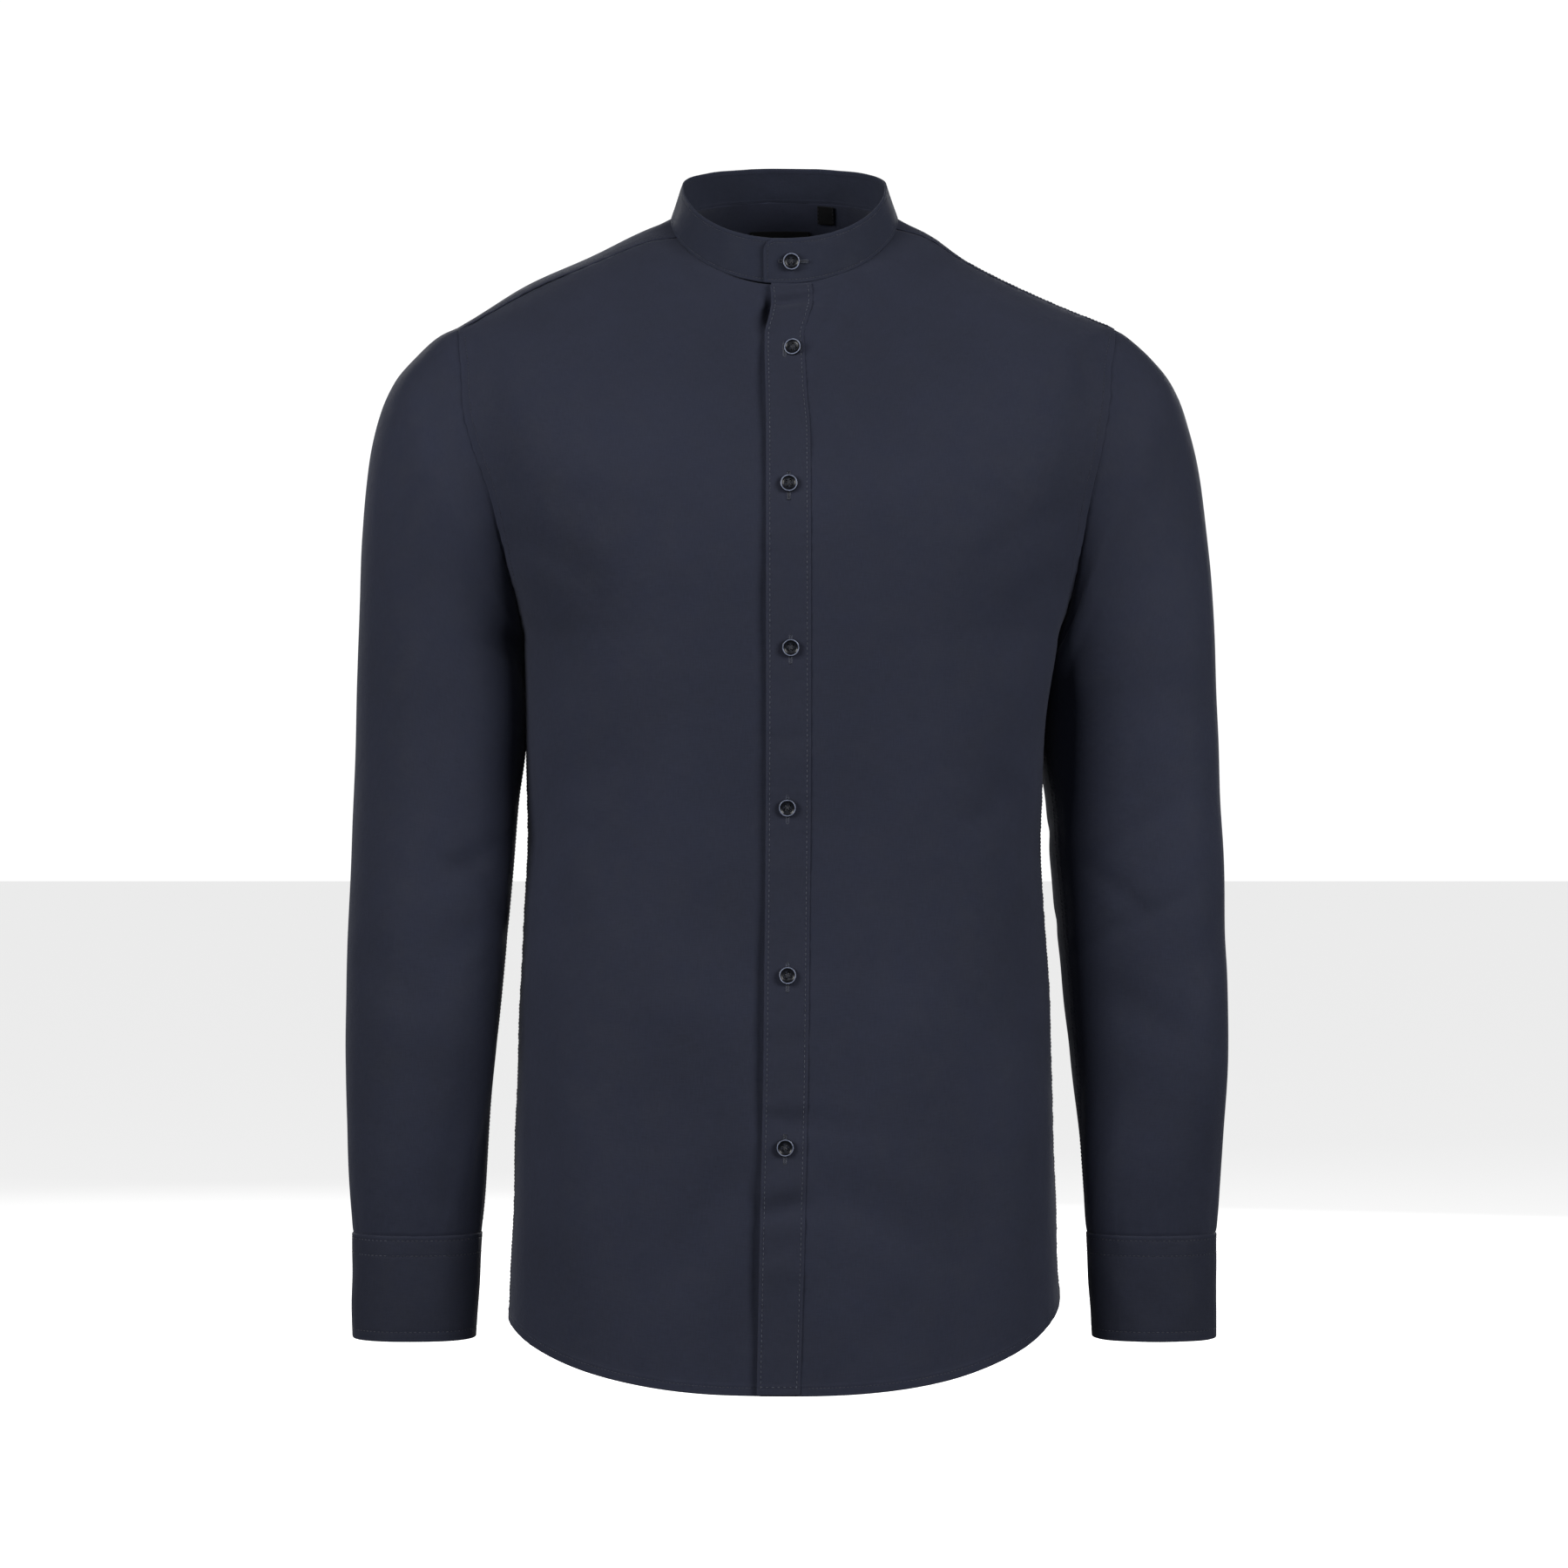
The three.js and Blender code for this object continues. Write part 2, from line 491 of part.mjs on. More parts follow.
// ---- collar band -----------------------------------------------------------
function bandLoop(a, top) {
  const c = Math.cos(rad(a)), s = Math.sin(rad(a));
  if (!top) return bodyRaw(a, NECK_V).add(new THREE.Vector3(0, 0, 0.6));
  const e = 2 / BAND_TOP.n;
  const end = c >= 0 ? BAND_TOP.zf : BAND_TOP.zb, p = c >= 0 ? BAND_TOP.pf : BAND_TOP.pb;
  return new THREE.Vector3(BAND_TOP.a * pow(s, e), -(c >= 0 ? BAND_TOP.f : BAND_TOP.k) * pow(c, e),
    BAND_TOP.zs + (end - BAND_TOP.zs) * Math.abs(c) ** p);
}
const bandAngle = (x) => (Math.asin(x / 73) * 180) / Math.PI;
const BAND_FROM = bandAngle(BAND_END.over), BAND_TO = 360 + bandAngle(BAND_END.under);
function bandRaw(a, h) {
  const lo = bandLoop(a, false), hi = bandLoop(a, true);
  return lo.lerp(hi, h);
}
function bandNormal(a, h) {
  return surfaceNormal(bandRaw, a, clamp(h, 0.05, 0.95), 1.5, 0.05);
}
function band(a, h, lift = 0) {
  const under = (BAND_WALL + GAP) * smooth(BAND_TO - 34, BAND_TO - 20.5, a);
  return bandRaw(a, h).addScaledVector(bandNormal(a, h), 0.3 - under + lift);
}
{
  const stops = [0, 0.4, 1.4, 3, 5.2, 8.2];
  const cols = 30;
  const a = (j) => (j < stops.length ? BAND_FROM + stops[j]
    : lerp(BAND_FROM + 8.2, BAND_TO, (j - stops.length + 1) / (cols - stops.length + 1)));
  const topOf = (j) => {                        // rounded corner of the outer end
    const x = ((a(j) - BAND_FROM) * Math.PI * 73) / 180, r = BAND_END.round;
    return x >= r ? 1 : 1 - (r - Math.sqrt(r * r - (r - x) ** 2)) / 28;
  };
  cloth('collar_band', gridShell(3, cols + 1,
    (i, j) => band(a(j), (i / 2) * topOf(j)),
    (i, j) => bandNormal(a(j), i / 2), BAND_WALL), COLOUR.collar);
}

// ---- labels inside the back neck, blank --------------------------------------
function insidePatch(x0, x1, v0, v1, wall, cols) {
  const vs = [v1, (v0 + v1) / 2, v0];
  const a = (i, j) => 180 - angleOfX(lerp(x1, x0, j / cols), vs[i]);
  return gridShell(3, cols + 1,
    (i, j) => body(a(i, j), vs[i], -WALL - 1.2),
    (i, j) => bodyNormal(a(i, j), vs[i]), wall);
}
cloth('neck_label', insidePatch(-23, 17, 742, 712, 0.8, 4), COLOUR.label);
cloth('size_tab', insidePatch(22.4, 33, 786, 757, 0.6, 4), COLOUR.label);

// ---- buttons: turned disc with a raised rim and four thread holes -------------
const wasm = await Module();
wasm.setup();
function toManifold(geo) {
  const g = geo.index ? geo : geo.clone();
  const p = g.attributes.position, seen = new Map(), verts = [], remap = [];
  for (let i = 0; i < p.count; i += 1) {
    const key = [p.getX(i), p.getY(i), p.getZ(i)].map((x) => Math.round(x * 1e4)).join();
    if (!seen.has(key)) { seen.set(key, verts.length / 3); verts.push(p.getX(i), p.getY(i), p.getZ(i)); }
    remap.push(seen.get(key));
  }
  const idx = g.index ? Array.from(g.index.array, (i) => remap[i]) : remap;
  const tri = [];
  for (let i = 0; i < idx.length; i += 3) {
    const [a, b, c] = [idx[i], idx[i + 1], idx[i + 2]];
    if (a !== b && b !== c && a !== c) tri.push(a, b, c);
  }
  return new wasm.Manifold(new wasm.Mesh({ numProp: 3,
    vertProperties: new Float32Array(verts), triVerts: new Uint32Array(tri) }));
}
function buttonGeometry() {
  const R = BUTTON_R, T = BUTTON_T;
  const profile = [[0, 0], [R * 0.88, 0], [R, T * 0.5], [R * 0.86, T],
    [R * 0.64, T * 0.66], [0, T * 0.66]].map(([x, y]) => new THREE.Vector2(x, y));
  const disc = new THREE.LatheGeometry(profile, 12);
  disc.rotateX(Math.PI / 2);                    // axis along +Z
  let solid = toManifold(disc);
  if (solid.volume() < 0) throw new Error('button is inside out');
  for (const [sx, sy] of [[1, 1], [1, -1], [-1, 1], [-1, -1]]) {
    const drill = new THREE.CylinderGeometry(0.75, 0.75, 6, 4);
    drill.rotateX(Math.PI / 2);
    drill.translate(sx * 1.3, sy * 1.3, 0);
    solid = solid.subtract(toManifold(drill));
  }
  const m = solid.getMesh();
  const geo = new THREE.BufferGeometry();
  geo.setAttribute('position', new THREE.Float32BufferAttribute(Float32Array.from(m.vertProperties), 3));
  geo.setIndex(Array.from(m.triVerts));
  geo.computeVertexNormals();
  return geo;
}
const buttonGeo = buttonGeometry();
function button(name, point, normal, lift) {
  const mesh = cloth(name, buttonGeo.clone(), COLOUR.button, 0.25);
  mesh.position.copy(point).addScaledVector(normal, lift);
  mesh.quaternion.setFromUnitVectors(new THREE.Vector3(0, 0, 1), normal);
}
const stationOfFront = (z) => {
  let lo = 0, hi = NECK_V;
  for (let i = 0; i < 50; i += 1) { const m = (lo + hi) / 2; if (frontHeight(m) < z) lo = m; else hi = m; }
  return (lo + hi) / 2;
};
for (const b of BUTTONS) {
  const v = stationOfFront(b.z), a = angleOfX(b.x, v);
  button(b.name, body(a, v), bodyNormal(a, v), GAP + STRIP + 0.7);
}
{
  const a = bandAngle(COLLAR_BUTTON.x), h = (COLLAR_BUTTON.z + 28) / 28;
  button('button_collar', band(a, h), bandNormal(a, h), 0.5);
}
for (const side of ['right', 'left']) {
  const z = (CUFF_TOP + CUFF_BOTTOM) / 2, t = CUFF_TURN - 15;
  button(side === 'right' ? 'button_cuff_left' : 'button_cuff_right',
    cuffPoint(t, z, side), cuffNormal(t, z, side), 0.5);
}

export default shirt;
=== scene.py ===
import math

import bpy
import numpy as np
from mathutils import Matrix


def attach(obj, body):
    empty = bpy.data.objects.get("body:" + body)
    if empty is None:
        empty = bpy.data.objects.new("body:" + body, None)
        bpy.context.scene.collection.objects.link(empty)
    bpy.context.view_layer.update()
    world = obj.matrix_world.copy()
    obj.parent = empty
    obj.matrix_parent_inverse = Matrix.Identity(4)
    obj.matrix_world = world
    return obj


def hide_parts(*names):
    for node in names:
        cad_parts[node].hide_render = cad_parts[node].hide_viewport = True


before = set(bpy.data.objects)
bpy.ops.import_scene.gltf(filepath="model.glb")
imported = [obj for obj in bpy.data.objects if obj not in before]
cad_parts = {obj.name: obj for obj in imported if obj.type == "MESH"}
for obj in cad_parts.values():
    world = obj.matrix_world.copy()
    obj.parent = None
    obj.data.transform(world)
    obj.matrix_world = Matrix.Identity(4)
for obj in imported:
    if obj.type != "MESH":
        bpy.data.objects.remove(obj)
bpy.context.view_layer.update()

# Long-sleeved shirt with a stand collar, in its worn shape and hollow.
# Everything below is worked out in millimetres and made in metres.
# +X is to the right as seen from the front, the front faces -Y.
MM = 0.001

# ---- sizes --------------------------------------------------------------------
CLOTH = 0.9                  # thickness of panels and sleeves as built here
UNDER = 2.0                  # how far the lower front lies below the upper one
YOKE_BACK_V = 605.0
UNDERARM_V = 431.0
SHOULDER_V = 633.0
NECK_V = 788.0
BUTTON_R, BUTTON_T = 5.75, 2.3
CUFF_TOP, CUFF_BOTTOM = -637.0, -703.0
CUFF_LAP, CUFF_LAP_AT, CUFF_TURN = 2.45, 282.0, 394.0
BAND_WALL = 1.6
SLIT_LONG, SLIT_WIDE = 118.0, 21.0
HEM = 5.6                    # depth of the turned hem


def table(names, rows):
    a = np.array(rows, float)
    return {n: a[:, i] for i, n in enumerate(names.split())}


BODY = table("v zl zr zf zb w f k n pl pr", [
    [0, -691, -677, -730, -740, 178.2, 123, 113, 2.50, 1.5, 1.2],
    [80, -610, -607, -643, -650, 175.0, 120, 110, 2.50, 1.6, 1.35],
    [190, -500, -499, -510, -512, 172.0, 115, 102, 2.45, 1.8, 1.7],
    [305, -385, -385, -385, -385, 166.5, 111, 94, 2.40, 2.0, 2.0],
    [370, -320, -320, -320, -320, 167.4, 115, 98, 2.40, 2.0, 2.0],
    [431, -254, -254, -258, -252, 168.6, 119, 104, 2.40, 2.0, 2.0],
    [450, -235, -235, -242, -231, 174.0, 120, 106, 2.40, 2.0, 2.0],
    [483, -202, -202, -214, -196, 189.0, 121, 108, 2.40, 2.0, 2.0],
    [505, -180, -180, -197, -172, 199.0, 120.5, 109, 2.40, 2.0, 2.0],
    [539, -146, -146, -170, -133, 209.0, 118, 109, 2.40, 2.0, 2.0],
    [561, -124, -124, -154, -108, 214.5, 114.5, 107.5, 2.38, 2.0, 2.0],
    [586, -99, -99, -137, -80, 217.5, 109, 104, 2.35, 2.0, 2.0],
    [633, -52, -53, -106, -30, 211.0, 96, 94, 2.30, 2.0, 2.0],
    [680, -25, -33, -82, -5, 168.0, 86, 85, 2.25, 1.9, 1.9],
    [735, -1.5, -8, -54, 17, 118.0, 74, 75, 2.15, 1.7, 1.7],
    [762, 10.5, 9, -40, 27, 94.0, 68, 69, 2.08, 1.5, 1.5],
    [788, 19, 19, -28, 37, 73.4, 62, 63, 2.00, 1.12, 1.12],
])
ARMHOLE = {"front": 55.0, "back": 52.0, "top_back": 20.0}
YOKE_FRONT = {"left": (26.0, 20.0), "right": (15.0, 11.0)}
PLACKET = table("z c h", [
    [-740, -4.0, 13.3], [-606, -0.8, 13.8], [-511, 1.0, 13.8], [-293, 2.6, 13.8],
    [-128, 2.4, 13.7], [-94, 0.9, 12.7], [-71, 0.1, 12.4], [-62, -0.1, 12.1],
    [-51, 2.8, 12.2], [-40, 4.8, 12.8], [-26, 3.4, 13.0],
])
BAND_TOP = dict(a=66.3, f=63.2, k=49.5, zf=0.0, zs=40.0, zb=57.2, n=2.15, pf=1.1, pb=0.8)
BAND_END = dict(over=-12.6, under=12.0, round=9.0)
SLEEVE = table("s zo xl xr zi il ir d y", [
    [0, -52, 211.0, 209.5, -254, 169.5, 169.5, 54, 0],
    [10, -58.5, 224.2, 220.5, -255.6, 168.6, 168.9, 57.5, 1],
    [24, -70, 237.6, 234.8, -258, 167.8, 168.2, 60.5, 2],
    [42, -86, 252.0, 248.3, -261.5, 167.5, 167.6, 62.5, 3],
    [65, -108, 262.3, 259.0, -266.5, 167.2, 167.1, 64, 6],
    [95, -140, 270.0, 267.8, -274, 166.5, 166.4, 65, 9],
    [130, -176, 274.2, 272.3, -284, 166.1, 166.0, 65.5, 11],
    [170, -218, 276.2, 275.3, -300, 166.2, 166.1, 65.5, 11],
    [215, -268, 278.0, 277.0, -325, 168.0, 167.9, 65, 10],
    [265, -325, 279.2, 278.6, -357, 172.6, 172.3, 63.5, 7],
    [320, -385, 281.0, 280.6, -397, 175.4, 175.2, 61.5, 2],
    [380, -450, 283.3, 282.6, -453, 180.2, 180.2, 59, -3],
    [440, -511, 284.4, 283.9, -511, 185.4, 185.4, 55.5, -8],
    [510, -578, 282.6, 282.5, -578, 191.0, 190.6, 49, -11],
    [554, -618, 279.9, 280.3, -618, 194.0, 193.9, 42.5, -12.3],
    [568, -631.5, 278.9, 279.3, -631.5, 195.4, 195.0, 39.6, -12.8],
    [572, -635.4, 278.5, 278.8, -635.4, 195.8, 195.5, 38.9, -12.9],
    [575, -638, 276.2, 276.3, -638, 198.1, 197.9, 35.9, -13],
    [581, -644, 276.0, 276.1, -644, 198.3, 198.1, 35.6, -13],
])
CUFF = table("z xl xr il ir d y", [
    [-703, 279.3, 278.9, 199.0, 198.7, 37.2, -14],
    [-670, 279.3, 278.9, 197.0, 196.6, 38.4, -13.5],
    [-637, 279.3, 279.3, 195.0, 194.7, 38.9, -13],
])

# Broad folds, by angle (degrees) and station. dir: tilt of the length from
# upright in degrees; then length, width and depth.
BROAD = {
    "body": [
        (-42, 470, 28, 150, 34, -2.2), (40, 478, -24, 140, 30, -2.0),
        (-60, 330, 62, 120, 26, -2.4), (62, 318, -58, 130, 28, -2.2),
        (-30, 150, 12, 210, 36, 2.2), (34, 170, -10, 230, 40, -2.4),
        (60, 110, 8, 170, 30, 2.0), (-66, 120, -6, 180, 30, -2.2),
        (150, 330, 64, 170, 30, -2.6), (-152, 322, -60, 160, 30, -2.4),
        (128, 500, 20, 150, 30, -2.0), (-130, 505, -22, 150, 30, -2.0),
    ],
    "right": [
        (60, 385, 60, 70, 18, -2.2), (118, 420, -62, 66, 16, -2.0),
        (250, 395, 66, 80, 18, -2.4),
        (118, 302, 58, 84, 9, -1.7), (133, 338, -48, 74, 8, -1.5),
        (104, 356, 72, 58, 7, -1.1), (146, 372, 66, 52, 6, -1.0),
        (236, 318, 56, 96, 9, -1.8), (254, 352, -58, 84, 9, -1.6),
        (228, 372, 70, 66, 7, -1.3), (266, 410, 60, 60, 8, -1.0),
        (152, 72, 30, 104, 9, -2.3), (170, 118, -18, 124, 11, -2.0),
        (203, 92, 24, 118, 10, -2.0), (136, 128, 38, 80, 8, -1.2),
        (102, 470, 14, 152, 15, -1.5), (66, 506, -20, 92, 11, -1.0),
        (150, 520, 9, 112, 10, -1.7), (196, 486, -10, 120, 12, -1.5),
        (40, 250, 10, 170, 24, -0.9), (300, 230, -12, 180, 22, -1.1),
        (262, 556, 3, 62, 3.6, -1.9), (254, 552, -3, 66, 4.2, 1.4),
        (302, 558, -4, 54, 3.4, -1.7), (310, 555, 2, 60, 4.0, 1.2),
        (120, 560, 8, 36, 4.0, -0.7), (84, 562, -6, 32, 4.0, -0.6),
        (30, 560, 5, 40, 5.0, -0.6),
    ],
    "left": [
        (62, 400, 58, 72, 18, -2.2), (116, 372, -60, 64, 16, -2.0),
        (252, 385, -64, 80, 18, -2.4),
        (122, 318, -54, 78, 9, -1.6), (136, 348, 50, 70, 8, -1.5),
        (106, 330, 68, 60, 7, -1.0), (148, 384, -62, 56, 6, -1.0),
        (240, 330, -54, 92, 9, -1.8), (256, 366, 60, 80, 9, -1.6),
        (230, 392, 66, 66, 7, -1.2), (262, 300, -60, 64, 8, -1.0),
        (154, 66, -28, 108, 9, -2.2), (172, 124, 20, 116, 11, -2.1),
        (200, 98, -22, 112, 10, -2.0), (134, 118, -40, 84, 8, -1.3),
        (128, 486, -12, 148, 14, -1.9), (96, 452, 16, 110, 13, -1.2),
        (152, 536, -8, 96, 10, -1.8), (192, 500, 10, 126, 12, -1.5),
        (44, 268, -10, 164, 24, -0.9), (304, 246, 12, 172, 22, -1.1),
        (262, 556, -3, 60, 3.6, -1.9), (254, 553, 3, 64, 4.2, 1.4),
        (302, 557, 4, 56, 3.4, -1.7), (310, 554, -2, 60, 4.0, 1.2),
        (116, 561, -8, 36, 4.0, -0.7), (80, 560, 6, 34, 4.0, -0.6),
        (26, 561, -5, 38, 5.0, -0.5),
    ],
}

# Finer creases of the body, each a soft trough or ridge from one point to
# another as seen from the front (F) or through to the back (B): ends, sideways
# bow, half width, depth, how much steeper one flank is, and the share of the
# depth that swells up beside it.
FINE = [
    # from the collar and round the upper buttons
    ("F", 42, -19, 13, -76, 5, 8.0, -2.3, 0.35, 0.45),
    ("F", 6, -84, 25, -146, 3, 7.5, -1.9, 0.25, 0.40),
    ("F", 36, -38, -14, -43, -1, 4.2, -2.4, 0.2, 0.40),
    ("F", 74, -14, 61, -68, 4, 11, -1.2, 0.2, 0.40),
    ("F", 22, -60, 52, -118, -6, 10, 0.9, 0.0, 0.0),
    ("F", -34, -20, -22, -66, -3, 9, -0.9, 0.2, 0.30),
    ("F", -70, -10, -52, -60, -4, 12, -0.9, -0.2, 0.35),
    ("F", -20, -86, -48, -128, 4, 10, -0.8, 0.2, 0.35),
    # chest
    ("F", 62, -150, 76, -322, 7, 26, -1.0, 0.2, 0.35),
    ("F", -60, -134, -84, -310, -7, 27, -0.9, 0.2, 0.35),
    ("F", 188, -172, 116, -218, -7, 11, -1.1, 0.35, 0.45),
    ("F", -184, -188, -112, -232, 7, 11, -1.1, 0.35, 0.45),
    ("F", 178, -206, 138, -276, -6, 10, -0.8, 0.3, 0.40),
    ("F", -174, -218, -134, -290, 6, 10, -0.8, 0.3, 0.40),
    ("F", 198, -62, 206, -94, 2, 4.0, -1.0, 0.3, 0.40),
    ("F", 188, -64, 192, -108, 3, 5.5, -0.9, 0.2, 0.40),
    ("F", -196, -66, -204, -104, -3, 5.5, -0.9, 0.2, 0.40),
    ("F", 120, -66, 150, -150, 8, 18, -0.9, 0.2, 0.30),
    ("F", -122, -62, -150, -146, -8, 18, -0.8, 0.2, 0.30),
    # waist
    ("F", 132, -338, 160, -402, 5, 11, -1.9, 0.35, 0.45),
    ("F", 150, -498, 167, -548, 3, 9, -1.6, 0.3, 0.45),
    ("F", 108, -372, 150, -352, -4, 9, -1.0, 0.3, 0.40),
    ("F", -166, -328, -140, -452, -6, 13, -1.9, 0.3, 0.45),
    ("F", -158, -396, -120, -372, 4, 9, -1.0, 0.3, 0.40),
    ("F", -88, -424, -58, -516, 5, 24, 1.5, 0.0, 0.25),
    ("F", 96, -398, 58, -486, 5, 18, -1.0, 0.2, 0.35),
    ("F", -28, -300, -34, -420, -3, 18, -0.8, 0.2, 0.35),
    # below the waist
    ("F", -14, -560, 48, -568, 3, 7.5, -1.0, 0.3, 0.45),
    ("F", -18, -617, 20, -613, 1, 8.0, -1.5, 0.3, 0.50),
    ("F", 14, -646, -16, -654, 1, 9.0, 1.0, 0.0, 0.30),
    ("F", -22, -580, -66, -668, -7, 15, -2.0, 0.25, 0.45),
    ("F", 18, -598, 92, -646, 6, 15, -1.9, 0.25, 0.45),
    ("F", 112, -520, 124, -652, 6, 19, -1.3, 0.2, 0.35),
    ("F", -120, -536, -134, -662, -6, 19, 1.3, 0.0, 0.30),
    ("F", 46, -480, 40, -560, 3, 14, -0.8, 0.2, 0.35),
    ("F", -40, -470, -30, -548, -4, 14, -0.8, 0.2, 0.35),
    ("F", 76, -664, 60, -704, 2, 12, -0.9, 0.2, 0.30),
    ("F", -86, -650, -96, -700, -3, 14, -1.0, 0.2, 0.30),
    # back
    ("B", 96, -96, 74, -330, -10, 22, -2.2, 0.25, 0.40),
    ("B", -92, -90, -78, -316, 10, 23, -2.1, 0.25, 0.40),
    ("B", 24, -110, 30, -300, 5, 26, -1.2, 0.2, 0.35),
    ("B", -34, -120, -26, -340, -5, 25, -1.1, 0.2, 0.35),
    ("B", 186, -180, 104, -236, -8, 11, -2.1, 0.35, 0.45),
    ("B", -184, -176, -108, -226, 8, 11, -2.1, 0.35, 0.45),
    ("B", 172, -214, 126, -292, -7, 10, -1.4, 0.3, 0.40),
    ("B", -170, -220, -122, -300, 7, 10, -1.5, 0.3, 0.40),
    ("B", 150, -352, 62, -388, -8, 10, -2.3, 0.35, 0.50),
    ("B", -146, -344, -58, -392, 8, 10, -2.2, 0.35, 0.50),
    ("B", 132, -404, 40, -424, -5, 9, -1.8, 0.35, 0.50),
    ("B", -128, -410, -30, -430, 5, 9, -1.7, 0.35, 0.50),
    ("B", 60, -366, -66, -356, 5, 10, -1.5, 0.3, 0.45),
    ("B", 90, -452, 20, -466, -3, 11, -1.2, 0.3, 0.40),
    ("B", -96, -458, -24, -476, 3, 11, -1.1, 0.3, 0.40),
    ("B", 70, -500, 84, -690, 8, 26, -2.0, 0.2, 0.35),
    ("B", -58, -496, -80, -700, -8, 28, 1.8, 0.0, 0.30),
    ("B", 10, -520, 4, -716, 4, 24, -1.6, 0.2, 0.35),
    ("B", 134, -520, 142, -656, 5, 20, 1.5, 0.0, 0.30),
    ("B", -128, -516, -140, -660, -5, 20, -1.6, 0.2, 0.35),
]
# The lower front falls away under the band's edge below the collar.
UNDER_FINE = [
    ("F", -9.2, -36, -9.4, -57, 0, 3.4, -6.0, 0.0, 0.0),
    ("F", -13.5, -66, -14.5, -120, 0, 4.5, -1.2, 0.0, 0.0),
    ("F", -13, -210, -13, -270, 0, 5.0, -0.8, 0.0, 0.0),
    ("F", -14, -430, -15, -560, 0, 5.5, -1.8, 0.0, 0.0),
    ("F", -17, -590, -18, -690, 0, 6.0, -2.2, 0.0, 0.0),
]
# Own creases of the button band.
BAND_FINE = [
    ("F", -10, -40, -9, -60, 0, 5.0, 2.4, 0.0, 0.0),
    ("F", -12, -42.5, 19, -36.4, 0, 2.6, -0.9, 0.1, 0.05),
    ("F", -10, -37, 18, -31, 0, 3.0, 0.7, 0.0, 0.0),
    ("F", 4, -46, 14, -62, 0, 6.0, -0.7, 0.2, 0.3),
    ("F", -14, -108, 16, -113, 1, 6.0, -0.5, 0.2, 0.50),
    ("F", -14, -214, 16, -208, 1, 7.5, -0.35, 0.2, 0.50),
    ("F", -14, -322, 16, -318, 1, 8.0, -0.40, 0.2, 0.50),
    ("F", -14, -412, 16, -418, 1, 9.0, -0.40, 0.2, 0.50),
    ("F", -14, -514, 16, -509, 1, 8.0, -0.50, 0.2, 0.50),
    ("F", -14, -556, 16, -562, 1, 5.0, -0.70, 0.3, 0.50),
    ("F", -16, -617, 14, -612, 1, 6.0, -0.80, 0.3, 0.50),
]
BUTTONS = [("button_1", 5.0, -70.5), ("button_2", 2.7, -159.0), ("button_3", 3.8, -261.3),
           ("button_4", 1.9, -361.7), ("button_5", 1.9, -467.3), ("button_6", 0.3, -574.9)]
COLLAR_BUTTON = (3.9, -14.5)


# ---- helpers --------------------------------------------------------------------
def at(tab, key, by, x):
    """Smooth curve through one column of a table."""
    X, Y = tab[by], tab[key]
    h = np.diff(X)
    d = np.diff(Y) / h
    m = np.empty(len(X))
    m[0], m[-1] = d[0], d[-1]
    a, b = d[:-1], d[1:]
    ok = a * b > 0
    m[1:-1] = np.where(ok, 2 * a * b / np.where(ok, a + b, 1), 0)
    x = np.clip(np.asarray(x, float), X[0], X[-1])
    i = np.clip(np.searchsorted(X, x, side="right") - 1, 0, len(X) - 2)
    t = (x - X[i]) / h[i]
    return (Y[i] * (1 + 2 * t) * (1 - t) ** 2 + m[i] * h[i] * t * (1 - t) ** 2
            + Y[i + 1] * t * t * (3 - 2 * t) + m[i + 1] * h[i] * t * t * (t - 1))


def smooth(a, b, x):
    t = np.clip((x - a) / (b - a), 0, 1)
    return t * t * (3 - 2 * t)


def spow(x, e):
    return np.sign(x) * np.abs(x) ** e


def lerp(a, b, t):
    return a + (b - a) * t


def unit(v):
    return v / np.maximum(np.linalg.norm(v, axis=-1, keepdims=True), 1e-12)


def broad(on, a, v, r):
    total = 0.0
    for fa, fv, tilt, long, wide, deep in BROAD[on]:
        da = a - fa
        da = da - 360 * np.round(da / 360)
        x, y = np.radians(da) * r, v - fv
        c, s = math.cos(math.radians(tilt)), math.sin(math.radians(tilt))
        along, across = x * s + y * c, x * c - y * s
        total = total + deep * np.exp(-(across / wide) ** 2) * np.exp(-(2 * along / long) ** 4)
    return total


def fine(rows, x, z, ny):
    """Depth of the finer creases at points x, z whose normal's Y is ny."""
    face = {"F": smooth(0.02, 0.4, -ny), "B": smooth(0.02, 0.4, ny)}
    total = 0.0
    for side, x0, z0, x1, z1, bow, wide, deep, skew, swell in rows:
        dx, dz = x1 - x0, z1 - z0
        long = math.hypot(dx, dz)
        t = ((x - x0) * dx + (z - z0) * dz) / long ** 2
        across = (-(x - x0) * dz + (z - z0) * dx) / long - bow * 4 * np.clip(t, 0, 1) * (1 - np.clip(t, 0, 1))
        w = wide * np.exp(skew * np.tanh(across / wide))
        taper = smooth(-0.14, 0.3, t) * (1 - smooth(0.66, 1.16, t))
        body_ = np.exp(-(across / w) ** 2)
        beside = np.exp(-((across - 1.9 * wide) / wide) ** 2) + 0.6 * np.exp(-((across + 2.0 * wide) / wide) ** 2)
        total = total + deep * taper * face[side] * (body_ - swell * beside)
    return total


def ripple(u, v, length, amount, seed, across=1.0):
    """Gentle uneven waves, the same each run."""
    r = np.random.default_rng(seed)
    total = 0.0
    for _ in range(9):
        way, k, phase = r.uniform(0, math.pi), 2 * math.pi / (length * r.uniform(0.7, 1.5)), r.uniform(0, 6.28)
        total = total + np.sin(k * (u * math.cos(way) * across + v * math.sin(way)) + phase)
    return total * amount / 3.0


def pucker(along, off, amount, reach, seed):
    """Small gathers beside a sewn line: along it, and off from it."""
    r = np.random.default_rng(seed)
    total = 0.0
    for _ in range(5):
        k, phase = 2 * math.pi / r.uniform(5.5, 15.0), r.uniform(0, 6.28)
        total = total + np.sin(k * along + phase + 0.05 * off)
    return total * amount / 2.2 * np.exp(-np.abs(off) / reach)


